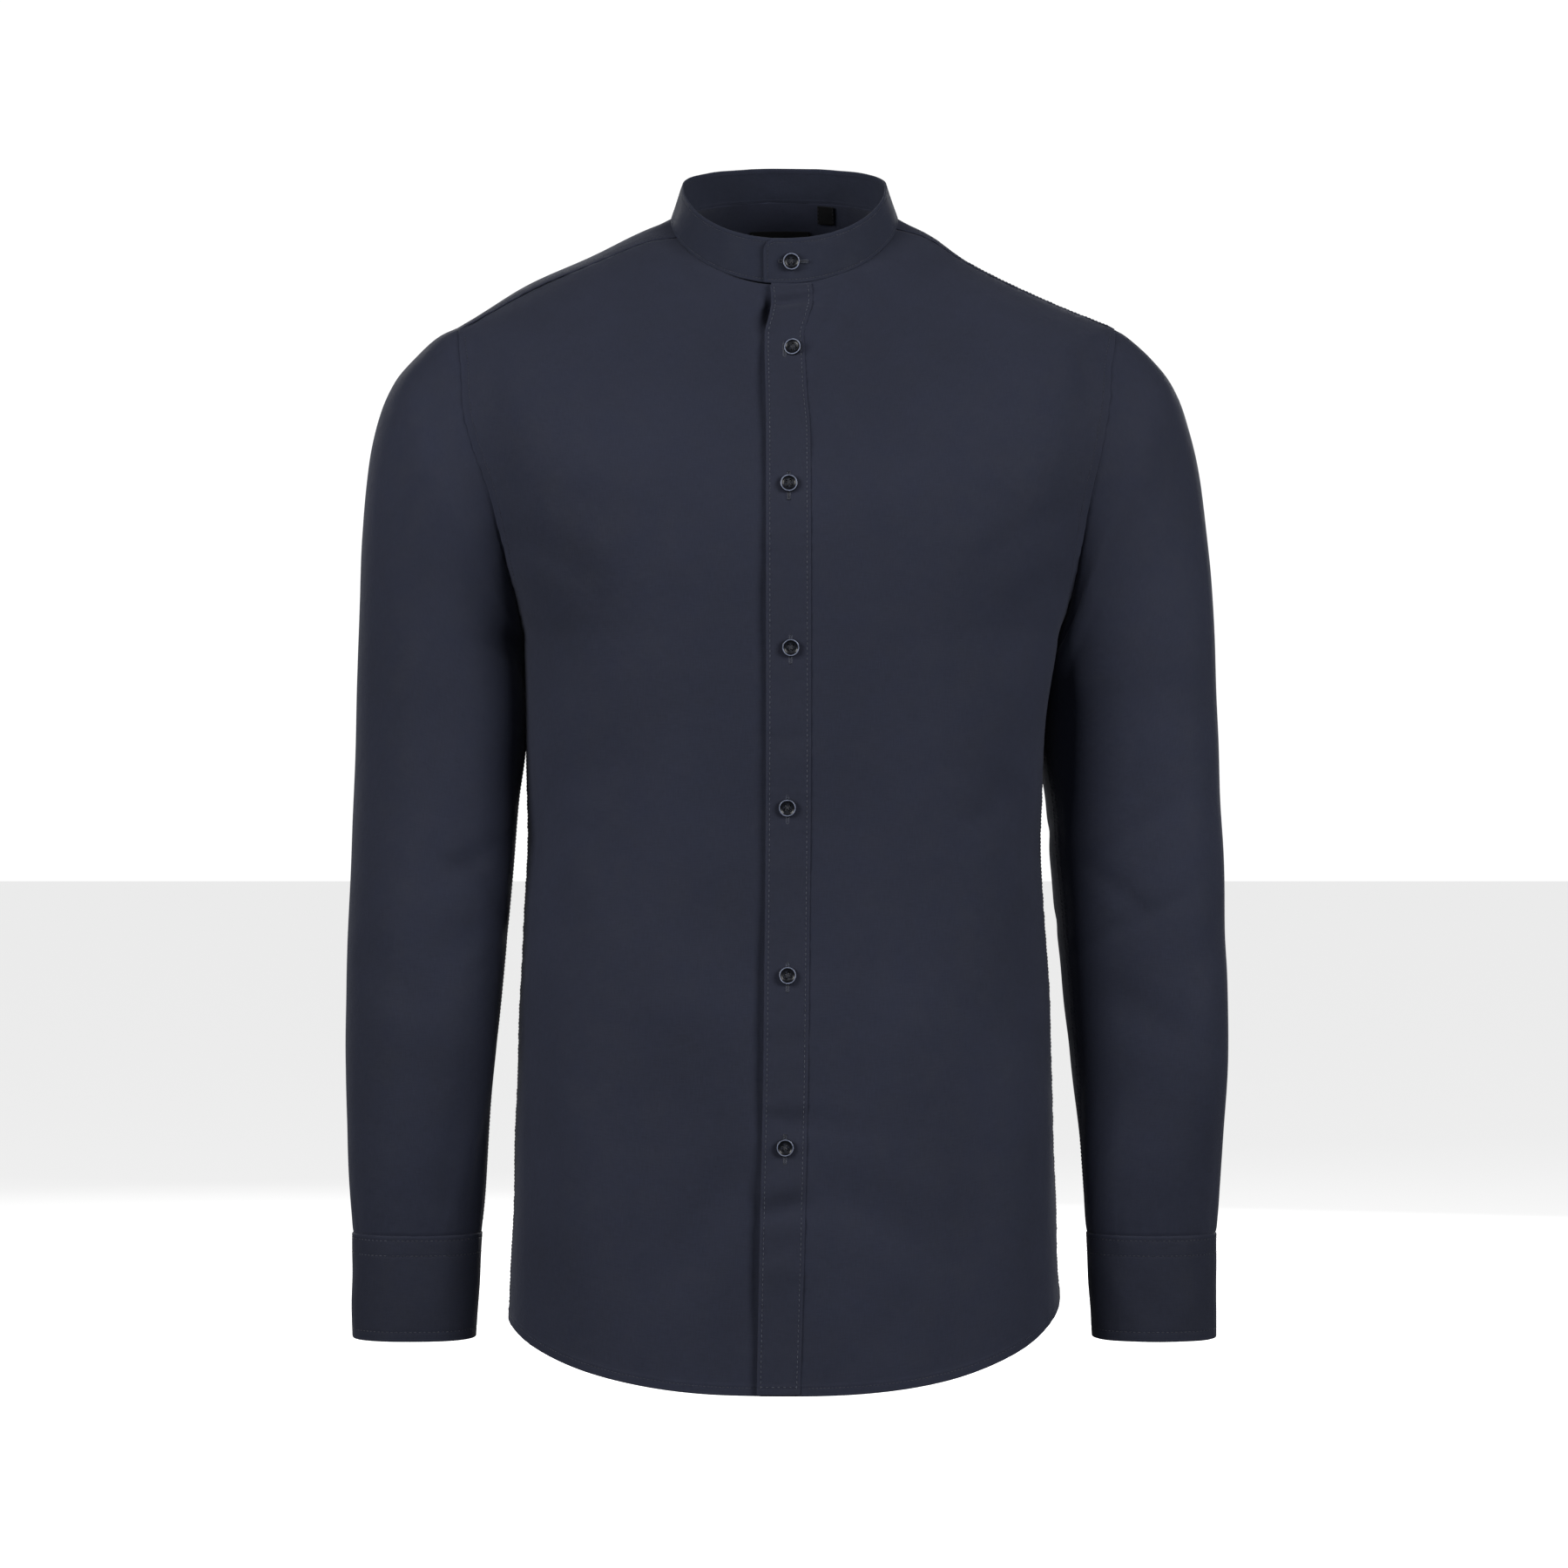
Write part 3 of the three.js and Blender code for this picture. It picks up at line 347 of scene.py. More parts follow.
# ---- body surface ---------------------------------------------------------------
def body_raw(a, v):
    a, v = np.broadcast_arrays(np.asarray(a, float), np.asarray(v, float))
    c, s = np.cos(np.radians(a)), np.sin(np.radians(a))
    e = 2 / at(BODY, "n", "v", v)
    zs = np.where(s >= 0, at(BODY, "zr", "v", v), at(BODY, "zl", "v", v))
    end = np.where(c >= 0, at(BODY, "zf", "v", v), at(BODY, "zb", "v", v))
    p = np.where(s >= 0, at(BODY, "pr", "v", v), at(BODY, "pl", "v", v))
    depth = np.where(c >= 0, at(BODY, "f", "v", v), at(BODY, "k", "v", v))
    # the shoulder line runs straight on into the sleeve
    far = smooth(0.6, 0.97, np.abs(s)) * (v > SHOULDER_V) * (v < 680)
    t, h = np.clip((v - SHOULDER_V) / 47.0, 0, 1), 47.0
    bump = h * t * (1 - t) ** 2 * far
    w = at(BODY, "w", "v", v) + bump * (-0.915 + 0.240)
    zs = zs + bump * (0.574 - 0.730)
    x, y = w * spow(s, e), -depth * spow(c, e)
    z = zs + (end - zs) * np.abs(c) ** p
    # cloth dragged out below the armhole on the wearer's left
    x = x + 12.0 * smooth(0.2, 0.7, s) * np.exp(-((y + 42) / 26) ** 2 - ((z + 243) / 58) ** 2)
    # and drawn in at the front of the armhole on the other side
    x = x + 7.0 * smooth(0.2, 0.7, -s) * smooth(5, 40, -y) * np.exp(-((z + 168) / 40) ** 2)
    return np.stack([x, y, z], -1)


def fd_normal(fn, a, v, da, dv):
    return unit(np.cross(fn(a + da, v) - fn(a - da, v), fn(a, v + dv) - fn(a, v - dv)))


def body_normal(a, v):
    v = np.minimum(v, NECK_V - 1.1)
    return fd_normal(body_raw, a, v, 1.0, 1.0)


def body(a, v, lift=0.0, own=None):
    """Point and normal of the body with its folds."""
    a, v = np.broadcast_arrays(np.asarray(a, float), np.asarray(v, float))
    p, n = body_raw(a, v), body_normal(a, v)
    keep = 1 - smooth(NECK_V - 90, NECK_V - 30, v)
    keep = keep * (1 - 0.9 * smooth(0.9, 0.99, np.abs(np.sin(np.radians(a)))) * smooth(310, 350, v) * (1 - smooth(440, 480, v)))
    d = broad("body", a, v, 140.0) * keep
    d = d + fine(FINE, p[..., 0], p[..., 2], n[..., 1]) * (1 - smooth(NECK_V - 14, NECK_V - 2, v))
    if own is not None:
        d = d + fine(own, p[..., 0], p[..., 2], n[..., 1])
    d = d + ripple(np.radians(a) * 140, v, 70, 0.30, 11) * keep
    return p + n * (d + lift)[..., None], n


def angle_of_y(y, v):
    y, v = np.broadcast_arrays(np.asarray(y, float), np.asarray(v, float))
    depth = np.where(y < 0, at(BODY, "f", "v", v), at(BODY, "k", "v", v))
    c = np.clip(np.abs(y) / depth, 0, 1) ** (at(BODY, "n", "v", v) / 2)
    a = np.degrees(np.arccos(c))
    return np.where(y < 0, a, 180 - a)


def angle_of_x(x, v):
    x, v = np.broadcast_arrays(np.asarray(x, float), np.asarray(v, float))
    s = np.clip(np.abs(x) / at(BODY, "w", "v", v), 0, 1) ** (at(BODY, "n", "v", v) / 2)
    return np.degrees(np.sign(x) * np.arcsin(s))


def front_height(v):
    return at(BODY, "zf", "v", v)


def station_of_front(z):
    lo, hi = 0.0, NECK_V
    for _ in range(50):
        m = (lo + hi) / 2
        lo, hi = (m, hi) if front_height(m) < z else (lo, m)
    return (lo + hi) / 2


def sgn(side):
    return 1.0 if side == "right" else -1.0


def armhole(q, side):
    q = np.asarray(q, float)
    front = q <= 180
    r = np.where(front, q, 360 - q)
    depth = np.where(front, ARMHOLE["front"], ARMHOLE["back"])
    top = np.where(front, YOKE_FRONT[side][0], ARMHOLE["top_back"])
    q0 = np.degrees(np.arcsin(top / depth))
    y = depth * np.sin(np.radians(r)) * np.where(front, -1, 1)
    v = np.where(r <= q0, SHOULDER_V,
                 lerp(UNDERARM_V, SHOULDER_V, (1 + np.cos(np.radians(r))) / (1 + np.cos(np.radians(q0)))))
    return v, y


def armhole_point(q, side, lift=0.0):
    v, y = armhole(q, side)
    return body(sgn(side) * angle_of_y(y, v), v, lift)


def armhole_angle(v, side, front, least=0.0):
    v = np.asarray(v, float)
    depth = ARMHOLE["front"] if front else ARMHOLE["back"]
    top = YOKE_FRONT[side][0] if front else ARMHOLE["top_back"]
    q0 = math.asin(top / depth)
    c = ((v - UNDERARM_V) / (SHOULDER_V - UNDERARM_V)) * (1 + math.cos(q0)) - 1
    y = np.maximum(depth * np.sin(np.arccos(np.clip(c, -1, 1))), least)
    return angle_of_y(-y if front else y, v)


def fillet(v, y=None, top=20.0):
    """How far the cloth spans across the hollow along the upper armhole; it
    fades out over the top of the shoulder, where y is near 0."""
    f = 6.5 * smooth(455, 550, v) * (1 - smooth(618, 668, v))
    return f if y is None else f * np.where(v < SHOULDER_V - 0.1, 1.0, smooth(0, top, np.abs(y)))


def outward(side, y):
    return np.stack([np.full(np.shape(y), sgn(side) * 0.5), np.where(y < 0, -0.86, 0.86), np.zeros(np.shape(y))], -1)


def easing(d, reach=32.0):
    return np.clip(1 - d / reach, 0, 1) ** 2


def spread(a0, a1, v, frac, dense=1400):
    """Angles from a0 to a1 at each station, at the given shares of the cloth's
    length between them, and that length."""
    t = np.linspace(0, 1, dense)
    A = a0[:, None] + (a1 - a0)[:, None] * t
    P = body_raw(A, np.broadcast_to(v[:, None], A.shape))
    L = np.concatenate([np.zeros((len(v), 1)), np.cumsum(np.linalg.norm(np.diff(P, axis=1), axis=-1), 1)], 1)
    out = np.stack([np.interp(frac * L[i, -1], L[i], A[i]) for i in range(len(v))])
    return out, L[:, -1]


def shares(length, cell, near, far):
    """Shares of a length, close together at the ends as near and far list."""
    a, b = np.array(near, float), length - np.array(far, float)[::-1]
    n = max(2, int(round((b[0] - a[-1]) / cell)) + 1)
    return np.unique(np.concatenate([a, np.linspace(a[-1], b[0], n), b])) / length


EDGE = [0, 0.7, 1.5, 2.4, 3.6, 5.4, 8]
SEWN = [0, 0.7, 1.3, 1.8, 2.3, 3.0, 4.2, 6.0, 8.5]


# ---- meshes -------------------------------------------------------------------------
def grid_normals(P, wrap=False):
    if wrap:
        dj = np.roll(P, -1, 1) - np.roll(P, 1, 1)
    else:
        dj = np.gradient(P, axis=1)
    return unit(np.cross(dj, np.gradient(P, axis=0)))


def facing(N, P, ref):
    """N turned to point away from ref."""
    return N if np.nansum(N * (P - ref)) > 0 else -N


def quads_of(rows, cols, wrap=False):
    i, j = np.meshgrid(np.arange(rows - 1), np.arange(cols if wrap else cols - 1), indexing="ij")
    k = (j + 1) % cols
    return np.stack([i * cols + j, i * cols + k, (i + 1) * cols + k, (i + 1) * cols + j], -1).reshape(-1, 4)


def mesh_object(name, V, F, uv=None, material=None, attrs=None, flat=False):
    me = bpy.data.meshes.new(name)
    V, F = np.asarray(V, np.float64) * MM, np.asarray(F, np.int64)
    me.vertices.add(len(V))
    me.vertices.foreach_set("co", V.astype(np.float32).ravel())
    me.loops.add(F.size)
    me.loops.foreach_set("vertex_index", F.astype(np.int32).ravel())
    me.polygons.add(len(F))
    me.polygons.foreach_set("loop_start", (np.arange(len(F)) * F.shape[1]).astype(np.int32))
    me.polygons.foreach_set("use_smooth", np.full(len(F), not flat))
    me.update(calc_edges=True)
    if uv is not None:
        layer = me.uv_layers.new(name="cloth")
        layer.data.foreach_set("uv", (np.asarray(uv) * MM).astype(np.float32).ravel())
    for key, values in (attrs or {}).items():
        at_ = me.attributes.new(key, "FLOAT", "POINT")
        at_.data.foreach_set("value", np.asarray(values, np.float32))
    me.validate()
    ob = bpy.data.objects.new(name, me)
    bpy.context.scene.collection.objects.link(ob)
    if material:
        me.materials.append(material)
    return ob


class Cloth:
    """One piece of cloth: points, normals and quads of its outer face."""

    def __init__(self, P, ref, wrap=False, wall=CLOTH, u=None, v=None, edge=None, quads=None, N=None):
        self.rows, self.cols = P.shape[:2]
        self.P, self.wrap, self.wall = P, wrap, wall
        N = grid_normals(P, wrap) if N is None else N
        self.turned = not (np.nansum(N * (P - ref)) > 0)
        self.N = -N if self.turned else N
        q = quads_of(self.rows, self.cols, wrap) if quads is None else quads
        cols = self.cols + (1 if wrap else 0)
        if u is None:
            closed = np.concatenate([P, P[:, :1]], 1) if wrap else P
            u = np.concatenate([np.zeros((self.rows, 1)),
                                np.cumsum(np.linalg.norm(np.diff(closed, axis=1), axis=-1), 1)], 1)
        if v is None:
            v = np.concatenate([[0], np.cumsum(np.linalg.norm(np.diff(P, axis=0), axis=-1).mean(1))])
        self.UV = np.stack(np.broadcast_arrays(u, np.asarray(v)[:, None] if np.ndim(v) == 1 else v), -1)
        r, c = q[:, 0] // self.cols, q[:, 0] % self.cols
        self.quv = np.stack([self.UV[r, c], self.UV[r, c + 1], self.UV[r + 1, c + 1], self.UV[r + 1, c]], 1)
        if self.turned:
            q, self.quv = q[:, ::-1], self.quv[:, ::-1]
        self.quads = q
        self.edge = np.zeros(P.shape[:2]) if edge is None else np.broadcast_to(edge, P.shape[:2])

    def sample(self, r, c):
        """Points and normals between the grid's points."""
        r, c = np.broadcast_arrays(np.asarray(r, float), np.asarray(c, float))
        i = np.clip(np.floor(r).astype(int), 0, self.rows - 2)
        if self.wrap:
            j = np.floor(c).astype(int)
            k, fj = (j + 1) % self.cols, c - j
            j = j % self.cols
        else:
            j = np.clip(np.floor(c).astype(int), 0, self.cols - 2)
            k, fj = j + 1, c - j
        fi, fj = (r - i)[..., None], fj[..., None]
        out = []
        for G in (self.P, self.N):
            out.append((G[i, j] * (1 - fj) + G[i, k] * fj) * (1 - fi) + (G[i + 1, j] * (1 - fj) + G[i + 1, k] * fj) * fi)
        return out[0], unit(out[1])

    def column(self, d, last=False, rows=None):
        """Column number at length d from the first or last column, by row."""
        L = self.UV[..., 0]
        rows = range(self.rows) if rows is None else rows
        n = self.cols
        return np.array([np.interp(L[i, n - 1] - d if last else d, L[i, :n], np.arange(n)) for i in rows])

    def row(self, d, last=False, cols=None):
        seg = np.linalg.norm(np.diff(self.P, axis=0), axis=-1)
        L = np.concatenate([np.zeros((1, self.cols)), np.cumsum(seg, 0)])
        cols = range(self.cols) if cols is None else cols
        return np.array([np.interp(L[-1, j] - d if last else d, L[:, j], np.arange(self.rows)) for j in cols])

    def build(self, name, material, rim=4, roll=1.0):
        n = self.rows * self.cols
        P, N = self.P.reshape(n, 3), self.N.reshape(n, 3)
        wall = np.broadcast_to(self.wall, (self.rows, self.cols)).reshape(n)
        edge = self.edge.reshape(n)
        used = np.unique(self.quads)
        keep = np.full(n, -1)
        keep[used] = np.arange(len(used))
        q = keep[self.quads]
        P, N, wall, edge = P[used], N[used], wall[used], edge[used]
        m = len(used)
        vuv = np.zeros((m, 2))
        vuv[q.ravel()] = self.quv.reshape(-1, 2)
        a, b = q.ravel(), np.roll(q, -1, axis=1).ravel()
        lone = ~np.isin(b * m + a, a * m + b)
        ea, eb = a[lone], b[lone]
        out = np.zeros((m, 3))
        way = unit(np.cross(P[eb] - P[ea], N[ea] + N[eb]))
        np.add.at(out, ea, way)
        np.add.at(out, eb, way)
        rimv = np.unique(np.concatenate([ea, eb]))
        out = unit(out[rimv])
        V = [P, P - N * wall[:, None]]
        ring = [np.arange(m)]
        attr = [edge, edge]
        place = np.full(m, -1)
        place[rimv] = np.arange(len(rimv))
        total = 2 * m
        for k in range(1, rim):
            th = math.pi * k / rim
            w = wall[rimv][:, None] / 2
            V.append(P[rimv] - N[rimv] * w * (1 - math.cos(th)) + out * w * math.sin(th) * roll)
            ids = np.full(m, -1)
            ids[rimv] = total + np.arange(len(rimv))
            ring.append(ids)
            total += len(rimv)
            # the rolled rim takes the full 'edge' value, so it gets the cloth's painted highlight
            attr.append(np.ones(len(rimv)))
        ring.append(m + np.arange(m))
        F, UV = [q, q[:, ::-1] + m], [self.quv, self.quv[:, ::-1]]
        for k in range(rim):
            r0, r1 = ring[k], ring[k + 1]
            F.append(np.stack([r0[eb], r0[ea], r1[ea], r1[eb]], 1))
            s0, s1 = 0.35 * k, 0.35 * (k + 1)
            UV.append(np.stack([vuv[eb] + [0, s0], vuv[ea] + [0, s0], vuv[ea] + [0, s1], vuv[eb] + [0, s1]], 1))
        return mesh_object(name, np.concatenate(V), np.concatenate(F), np.concatenate(UV).reshape(-1, 2),
                           material, {"edge": np.concatenate(attr)})


class Sewing:
    """Many small stitches joined into one mesh."""

    def __init__(self):
        self.V, self.F, self.count = [], [], 0

    def add(self, P, T, N, length, radius, lift=0.10, arch=0.12):
        """One stitch at each point P, along T, on the surface with normal N."""
        P, T, N = (np.atleast_2d(x) for x in (P, T, N))
        T = unit(T - N * np.sum(T * N, -1, keepdims=True))
        B = np.cross(N, T)
        n = len(P)
        rings = [(-0.5, 0.25, -0.10), (-0.36, 0.85, arch * 0.6), (0, 1.0, arch), (0.36, 0.85, arch * 0.6), (0.5, 0.25, -0.10)]
        verts = []
        for along, size, up in rings:
            base = P + T * along * length + N * (lift + up)
            for s, t in ((1, 0), (0, 1), (-1, 0), (0, -1)):
                verts.append(base + (B * s + N * t) * radius * size)
        V = np.stack(verts, 1)
        quads = []
        for r in range(4):
            for k in range(4):
                a, b = r * 4 + k, r * 4 + (k + 1) % 4
                quads.append([a, b, b + 4, a + 4])
        quads += [[3, 2, 1, 0], [16, 17, 18, 19]]
        Q = np.array(quads)[None] + (np.arange(n) * 20)[:, None, None] + self.count
        self.V.append(V.reshape(-1, 3))
        self.F.append(Q.reshape(-1, 4))
        self.count += n * 20

    def line(self, P, N, pitch=2.4, length=1.7, radius=0.15, lift=0.03, seed=3):
        """A row of stitches along the points P."""
        seg = np.linalg.norm(np.diff(P, axis=0), axis=-1)
        L = np.concatenate([[0], np.cumsum(seg)])
        n = int(L[-1] / pitch)
        if n < 1:
            return
        r = np.random.default_rng(seed)
        s = (np.arange(n) + 0.5) * L[-1] / n + r.uniform(-0.08, 0.08, n)
        X = np.stack([np.interp(s, L, P[:, k]) for k in range(3)], -1)
        M = unit(np.stack([np.interp(s, L, N[:, k]) for k in range(3)], -1))
        T = unit(np.stack([np.interp(s + 0.6, L, P[:, k]) - np.interp(s - 0.6, L, P[:, k]) for k in range(3)], -1))
        T = unit(T + np.cross(M, T) * r.uniform(-0.07, 0.07, (n, 1)))
        self.add(X, T, M, length, radius, lift)

    def build(self, name, material):
        ob = mesh_object(name, np.concatenate(self.V), np.concatenate(self.F), material=material)
        return ob


# ---- materials ------------------------------------------------------------------------
def node(nt, kind, **values):
    n = nt.nodes.new(kind)
    for key, value in values.items():
        if key in n.inputs:
            n.inputs[key].default_value = value
        else:
            setattr(n, key, value)
    return n


def maths(nt, op, a, b=None, clamp=False):
    n = nt.nodes.new("ShaderNodeMath")
    n.operation, n.use_clamp = op, clamp
    for k, x in enumerate([a] if b is None else [a, b]):
        if isinstance(x, (int, float)):
            n.inputs[k].default_value = x
        else:
            nt.links.new(x, n.inputs[k])
    return n.outputs[0]


def noise(nt, vector, scale, detail=3.0, rough=0.55):
    n = node(nt, "ShaderNodeTexNoise", Scale=scale, Detail=detail, Roughness=rough)
    nt.links.new(vector, n.inputs["Vector"])
    return n.outputs["Fac"]


def ranged(nt, x, lo, hi, a=0.3, b=0.7):
    n = nt.nodes.new("ShaderNodeMapRange")
    n.inputs["From Min"].default_value, n.inputs["From Max"].default_value = a, b
    n.inputs["To Min"].default_value, n.inputs["To Max"].default_value = lo, hi
    nt.links.new(x, n.inputs["Value"])
    return n.outputs["Result"]


def principled(name):
    m = bpy.data.materials.new(name)
    m.use_nodes = True
    nt = m.node_tree
    return m, nt, nt.nodes["Principled BSDF"]


def scaled_colour(nt, base, factor):
    """base times a value, as a colour."""
    n = nt.nodes.new("ShaderNodeVectorMath")
    n.operation = "SCALE"
    n.inputs[0].default_value = base
    nt.links.new(factor, n.inputs["Scale"])
    return n.outputs["Vector"]


def cloth_material(name, base, thread=0.42, weave=0.5, sheen=0.12, rough=(0.74, 0.88), uneven=0.10, crisp=0.0):
    """Fine plain weave: crossed threads of uneven thickness and tone."""
    m, nt, shader = principled(name)
    link = nt.links.new
    uv = node(nt, "ShaderNodeUVMap", uv_map="cloth").outputs["UV"]
    sep = nt.nodes.new("ShaderNodeSeparateXYZ")
    link(uv, sep.inputs[0])
    obj = nt.nodes.new("ShaderNodeTexCoord").outputs["Object"]
    slow = noise(nt, obj, 9.0, 3.0, 0.5)
    mid = noise(nt, obj, 60.0, 4.0, 0.6)
    # threads wander a little
    wander = maths(nt, "MULTIPLY", maths(nt, "SUBTRACT", mid, 0.5), 0.0006)
    u = maths(nt, "MULTIPLY", maths(nt, "ADD", sep.outputs[0], wander), math.pi / (thread * MM))
    v = maths(nt, "MULTIPLY", maths(nt, "SUBTRACT", sep.outputs[1], wander), math.pi / (thread * MM))
    su, sv = maths(nt, "SINE", u), maths(nt, "SINE", v)
    over = maths(nt, "MULTIPLY_ADD", maths(nt, "MULTIPLY", su, sv), 0.5)
    over.node.inputs[2].default_value = 0.5
    warp = maths(nt, "ABSOLUTE", su)
    weft = maths(nt, "ABSOLUTE", sv)
    under = maths(nt, "SUBTRACT", 1.0, over)
    height = maths(nt, "ADD", maths(nt, "MULTIPLY", warp, over), maths(nt, "MULTIPLY", weft, under))
    # slubs: noise drawn out along each thread direction
    def drawn(sx, sy, scale):
        mp = nt.nodes.new("ShaderNodeMapping")
        mp.inputs["Scale"].default_value = (sx, sy, 1)
        link(uv, mp.inputs["Vector"])
        return noise(nt, mp.outputs["Vector"], scale, 2.0, 0.6)
    slub_u = drawn(0.06, 1.0, 2100.0)
    slub_v = drawn(1.0, 0.06, 2100.0)
    slub = maths(nt, "ADD", maths(nt, "MULTIPLY", slub_u, 0.5), maths(nt, "MULTIPLY", slub_v, 0.5))
    edge = node(nt, "ShaderNodeAttribute", attribute_name="edge").outputs["Fac"]
    tone = maths(nt, "ADD", ranged(nt, slow, 1 - uneven, 1 + uneven), ranged(nt, mid, -0.05, 0.05))
    tone = maths(nt, "ADD", tone, ranged(nt, slub, -0.16, 0.16))
    tone = maths(nt, "ADD", tone, ranged(nt, height, -0.14, 0.08, 0.0, 1.0))
    # painted highlight: near edges, seams and rolled rims (the 'edge' attribute) the cloth is made up to 10% lighter,
    # standing for light caught on the folded edges
    tone = maths(nt, "ADD", tone, maths(nt, "MULTIPLY", edge, 0.10))
    link(scaled_colour(nt, base, tone), shader.inputs["Base Color"])
    link(ranged(nt, mid, rough[0], rough[1]), shader.inputs["Roughness"])
    b1 = node(nt, "ShaderNodeBump", Strength=weave, Distance=0.00012)
    link(maths(nt, "ADD", height, maths(nt, "MULTIPLY", slub, 0.8)), b1.inputs["Height"])
    b2 = node(nt, "ShaderNodeBump", Strength=0.35, Distance=0.0008)
    soft = maths(nt, "ADD", noise(nt, obj, 130.0, 2.0, 0.5), maths(nt, "MULTIPLY", noise(nt, obj, 38.0, 2.0, 0.5), 2.2))
    link(soft, b2.inputs["Height"])
    link(b1.outputs["Normal"], b2.inputs["Normal"])
    link(b2.outputs["Normal"], shader.inputs["Normal"])
    shader.inputs["Sheen Weight"].default_value = sheen
    shader.inputs["Sheen Roughness"].default_value = 0.45
    shader.inputs["Sheen Tint"].default_value = (0.82, 0.86, 1.0, 1.0)
    shader.inputs["Specular IOR Level"].default_value = 0.28
    return m


def thread_material(name, base):
    m, nt, shader = principled(name)
    link = nt.links.new
    obj = nt.nodes.new("ShaderNodeTexCoord").outputs["Object"]
    w = node(nt, "ShaderNodeTexWave", Scale=2600.0, Distortion=1.5, Detail=2.0)
    w.bands_direction = "DIAGONAL"
    link(obj, w.inputs["Vector"])
    tone = maths(nt, "ADD", ranged(nt, w.outputs["Fac"], 0.75, 1.2, 0, 1), ranged(nt, noise(nt, obj, 90.0), -0.2, 0.2))
    link(scaled_colour(nt, base, tone), shader.inputs["Base Color"])
    link(ranged(nt, w.outputs["Fac"], 0.45, 0.62, 0, 1), shader.inputs["Roughness"])
    b = node(nt, "ShaderNodeBump", Strength=0.5, Distance=0.00008)
    link(w.outputs["Fac"], b.inputs["Height"])
    link(b.outputs["Normal"], shader.inputs["Normal"])
    shader.inputs["Sheen Weight"].default_value = 0.2
    return m


def label_material(name):
    m, nt, shader = principled(name)
    link = nt.links.new
    uv = node(nt, "ShaderNodeUVMap", uv_map="cloth").outputs["UV"]
    sep = nt.nodes.new("ShaderNodeSeparateXYZ")
    link(uv, sep.inputs[0])
    su = maths(nt, "SINE", maths(nt, "MULTIPLY", sep.outputs[0], 2 * math.pi / 0.0005))
    sv = maths(nt, "SINE", maths(nt, "MULTIPLY", maths(nt, "ADD", sep.outputs[1], maths(nt, "MULTIPLY", sep.outputs[0], 0.5)),
                                 2 * math.pi / 0.0009))
    h = maths(nt, "ADD", maths(nt, "MULTIPLY", su, 0.5), maths(nt, "MULTIPLY", sv, 0.5))
    mid = noise(nt, nt.nodes.new("ShaderNodeTexCoord").outputs["Object"], 160.0, 3.0)
    tone = maths(nt, "ADD", ranged(nt, h, 0.7, 1.25, -1, 1), ranged(nt, mid, -0.15, 0.15))
    link(scaled_colour(nt, (0.0065, 0.0068, 0.0080), tone), shader.inputs["Base Color"])
    link(ranged(nt, mid, 0.62, 0.78), shader.inputs["Roughness"])
    b = node(nt, "ShaderNodeBump", Strength=0.4, Distance=0.0001)
    link(h, b.inputs["Height"])
    link(b.outputs["Normal"], shader.inputs["Normal"])
    shader.inputs["Specular IOR Level"].default_value = 0.2
    return m


def button_material(name):
    """Polished resin, nearly black, with faint clouding and fine turning marks, and a painted highlight where the
    'ring' attribute is set.
    """
    m, nt, shader = principled(name)
    link = nt.links.new
    obj = nt.nodes.new("ShaderNodeTexCoord").outputs["Object"]
    cloud = noise(nt, obj, 420.0, 4.0, 0.6)
    fine_ = noise(nt, obj, 2600.0, 2.0, 0.5)
    ring = node(nt, "ShaderNodeAttribute", attribute_name="ring").outputs["Fac"]
    tone = maths(nt, "ADD", ranged(nt, cloud, 0.6, 1.5), ranged(nt, fine_, -0.15, 0.15))
    # painted highlight: where 'ring' is set the colour is raised up to about 40 times, standing for the lamps'
    # reflections on the rim
    tone = maths(nt, "ADD", tone, maths(nt, "MULTIPLY", maths(nt, "MULTIPLY", ring, ranged(nt, cloud, 0.6, 1.35)), 42.0))
    link(scaled_colour(nt, (0.0062, 0.0070, 0.0098), tone), shader.inputs["Base Color"])
    link(ranged(nt, fine_, 0.26, 0.36), shader.inputs["Roughness"])
    b = node(nt, "ShaderNodeBump", Strength=0.12, Distance=0.0001)
    link(fine_, b.inputs["Height"])
    link(b.outputs["Normal"], shader.inputs["Normal"])
    shader.inputs["Specular IOR Level"].default_value = 0.24
    shader.inputs["Coat Weight"].default_value = 0.12
    shader.inputs["Coat Roughness"].default_value = 0.12
    return m


NAVY = (0.0210, 0.0246, 0.0445)
cloth = cloth_material("shirt_cloth", NAVY)
cloth_band = cloth_material("band_cloth", (0.0214, 0.0247, 0.0434), sheen=0.10, uneven=0.06)
# painted shade: the collar and cuff cloths are the body cloth made darker, by about 0.9 and 0.83 times
collar_cloth = cloth_material("collar_cloth", (0.0186, 0.0224, 0.0402), sheen=0.10, uneven=0.06)
cuff_cloth = cloth_material("cuff_cloth", (0.0175, 0.0205, 0.0370), sheen=0.10, uneven=0.06)
# painted highlight: 'thread' is the tonal thread made lighter, for stitches where they catch the light
thread = thread_material("thread", (0.078, 0.088, 0.124))
thread_quiet = thread_material("thread_tonal", (0.021, 0.0245, 0.0415))
thread_dark = thread_material("button_thread", (0.030, 0.033, 0.045))
# painted shadow: near-black, for the strips laid in the buttonhole cuts
painted_slit_shadow = thread_material("slit_shadow", (0.004, 0.004, 0.006))
label_cloth = label_material("label_tape")
button_gloss = button_material("button_resin")

painted_sheen_sewing = Sewing()            # rows in the lighter thread: painted highlight of stitches catching the light
quiet = Sewing()             # rows in the cloth's own tone
pieces = {}


def finish_piece(ob, replaces):
    if replaces:
        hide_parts(*replaces)
    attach(ob, "root")
    pieces[ob.name] = ob
    return ob


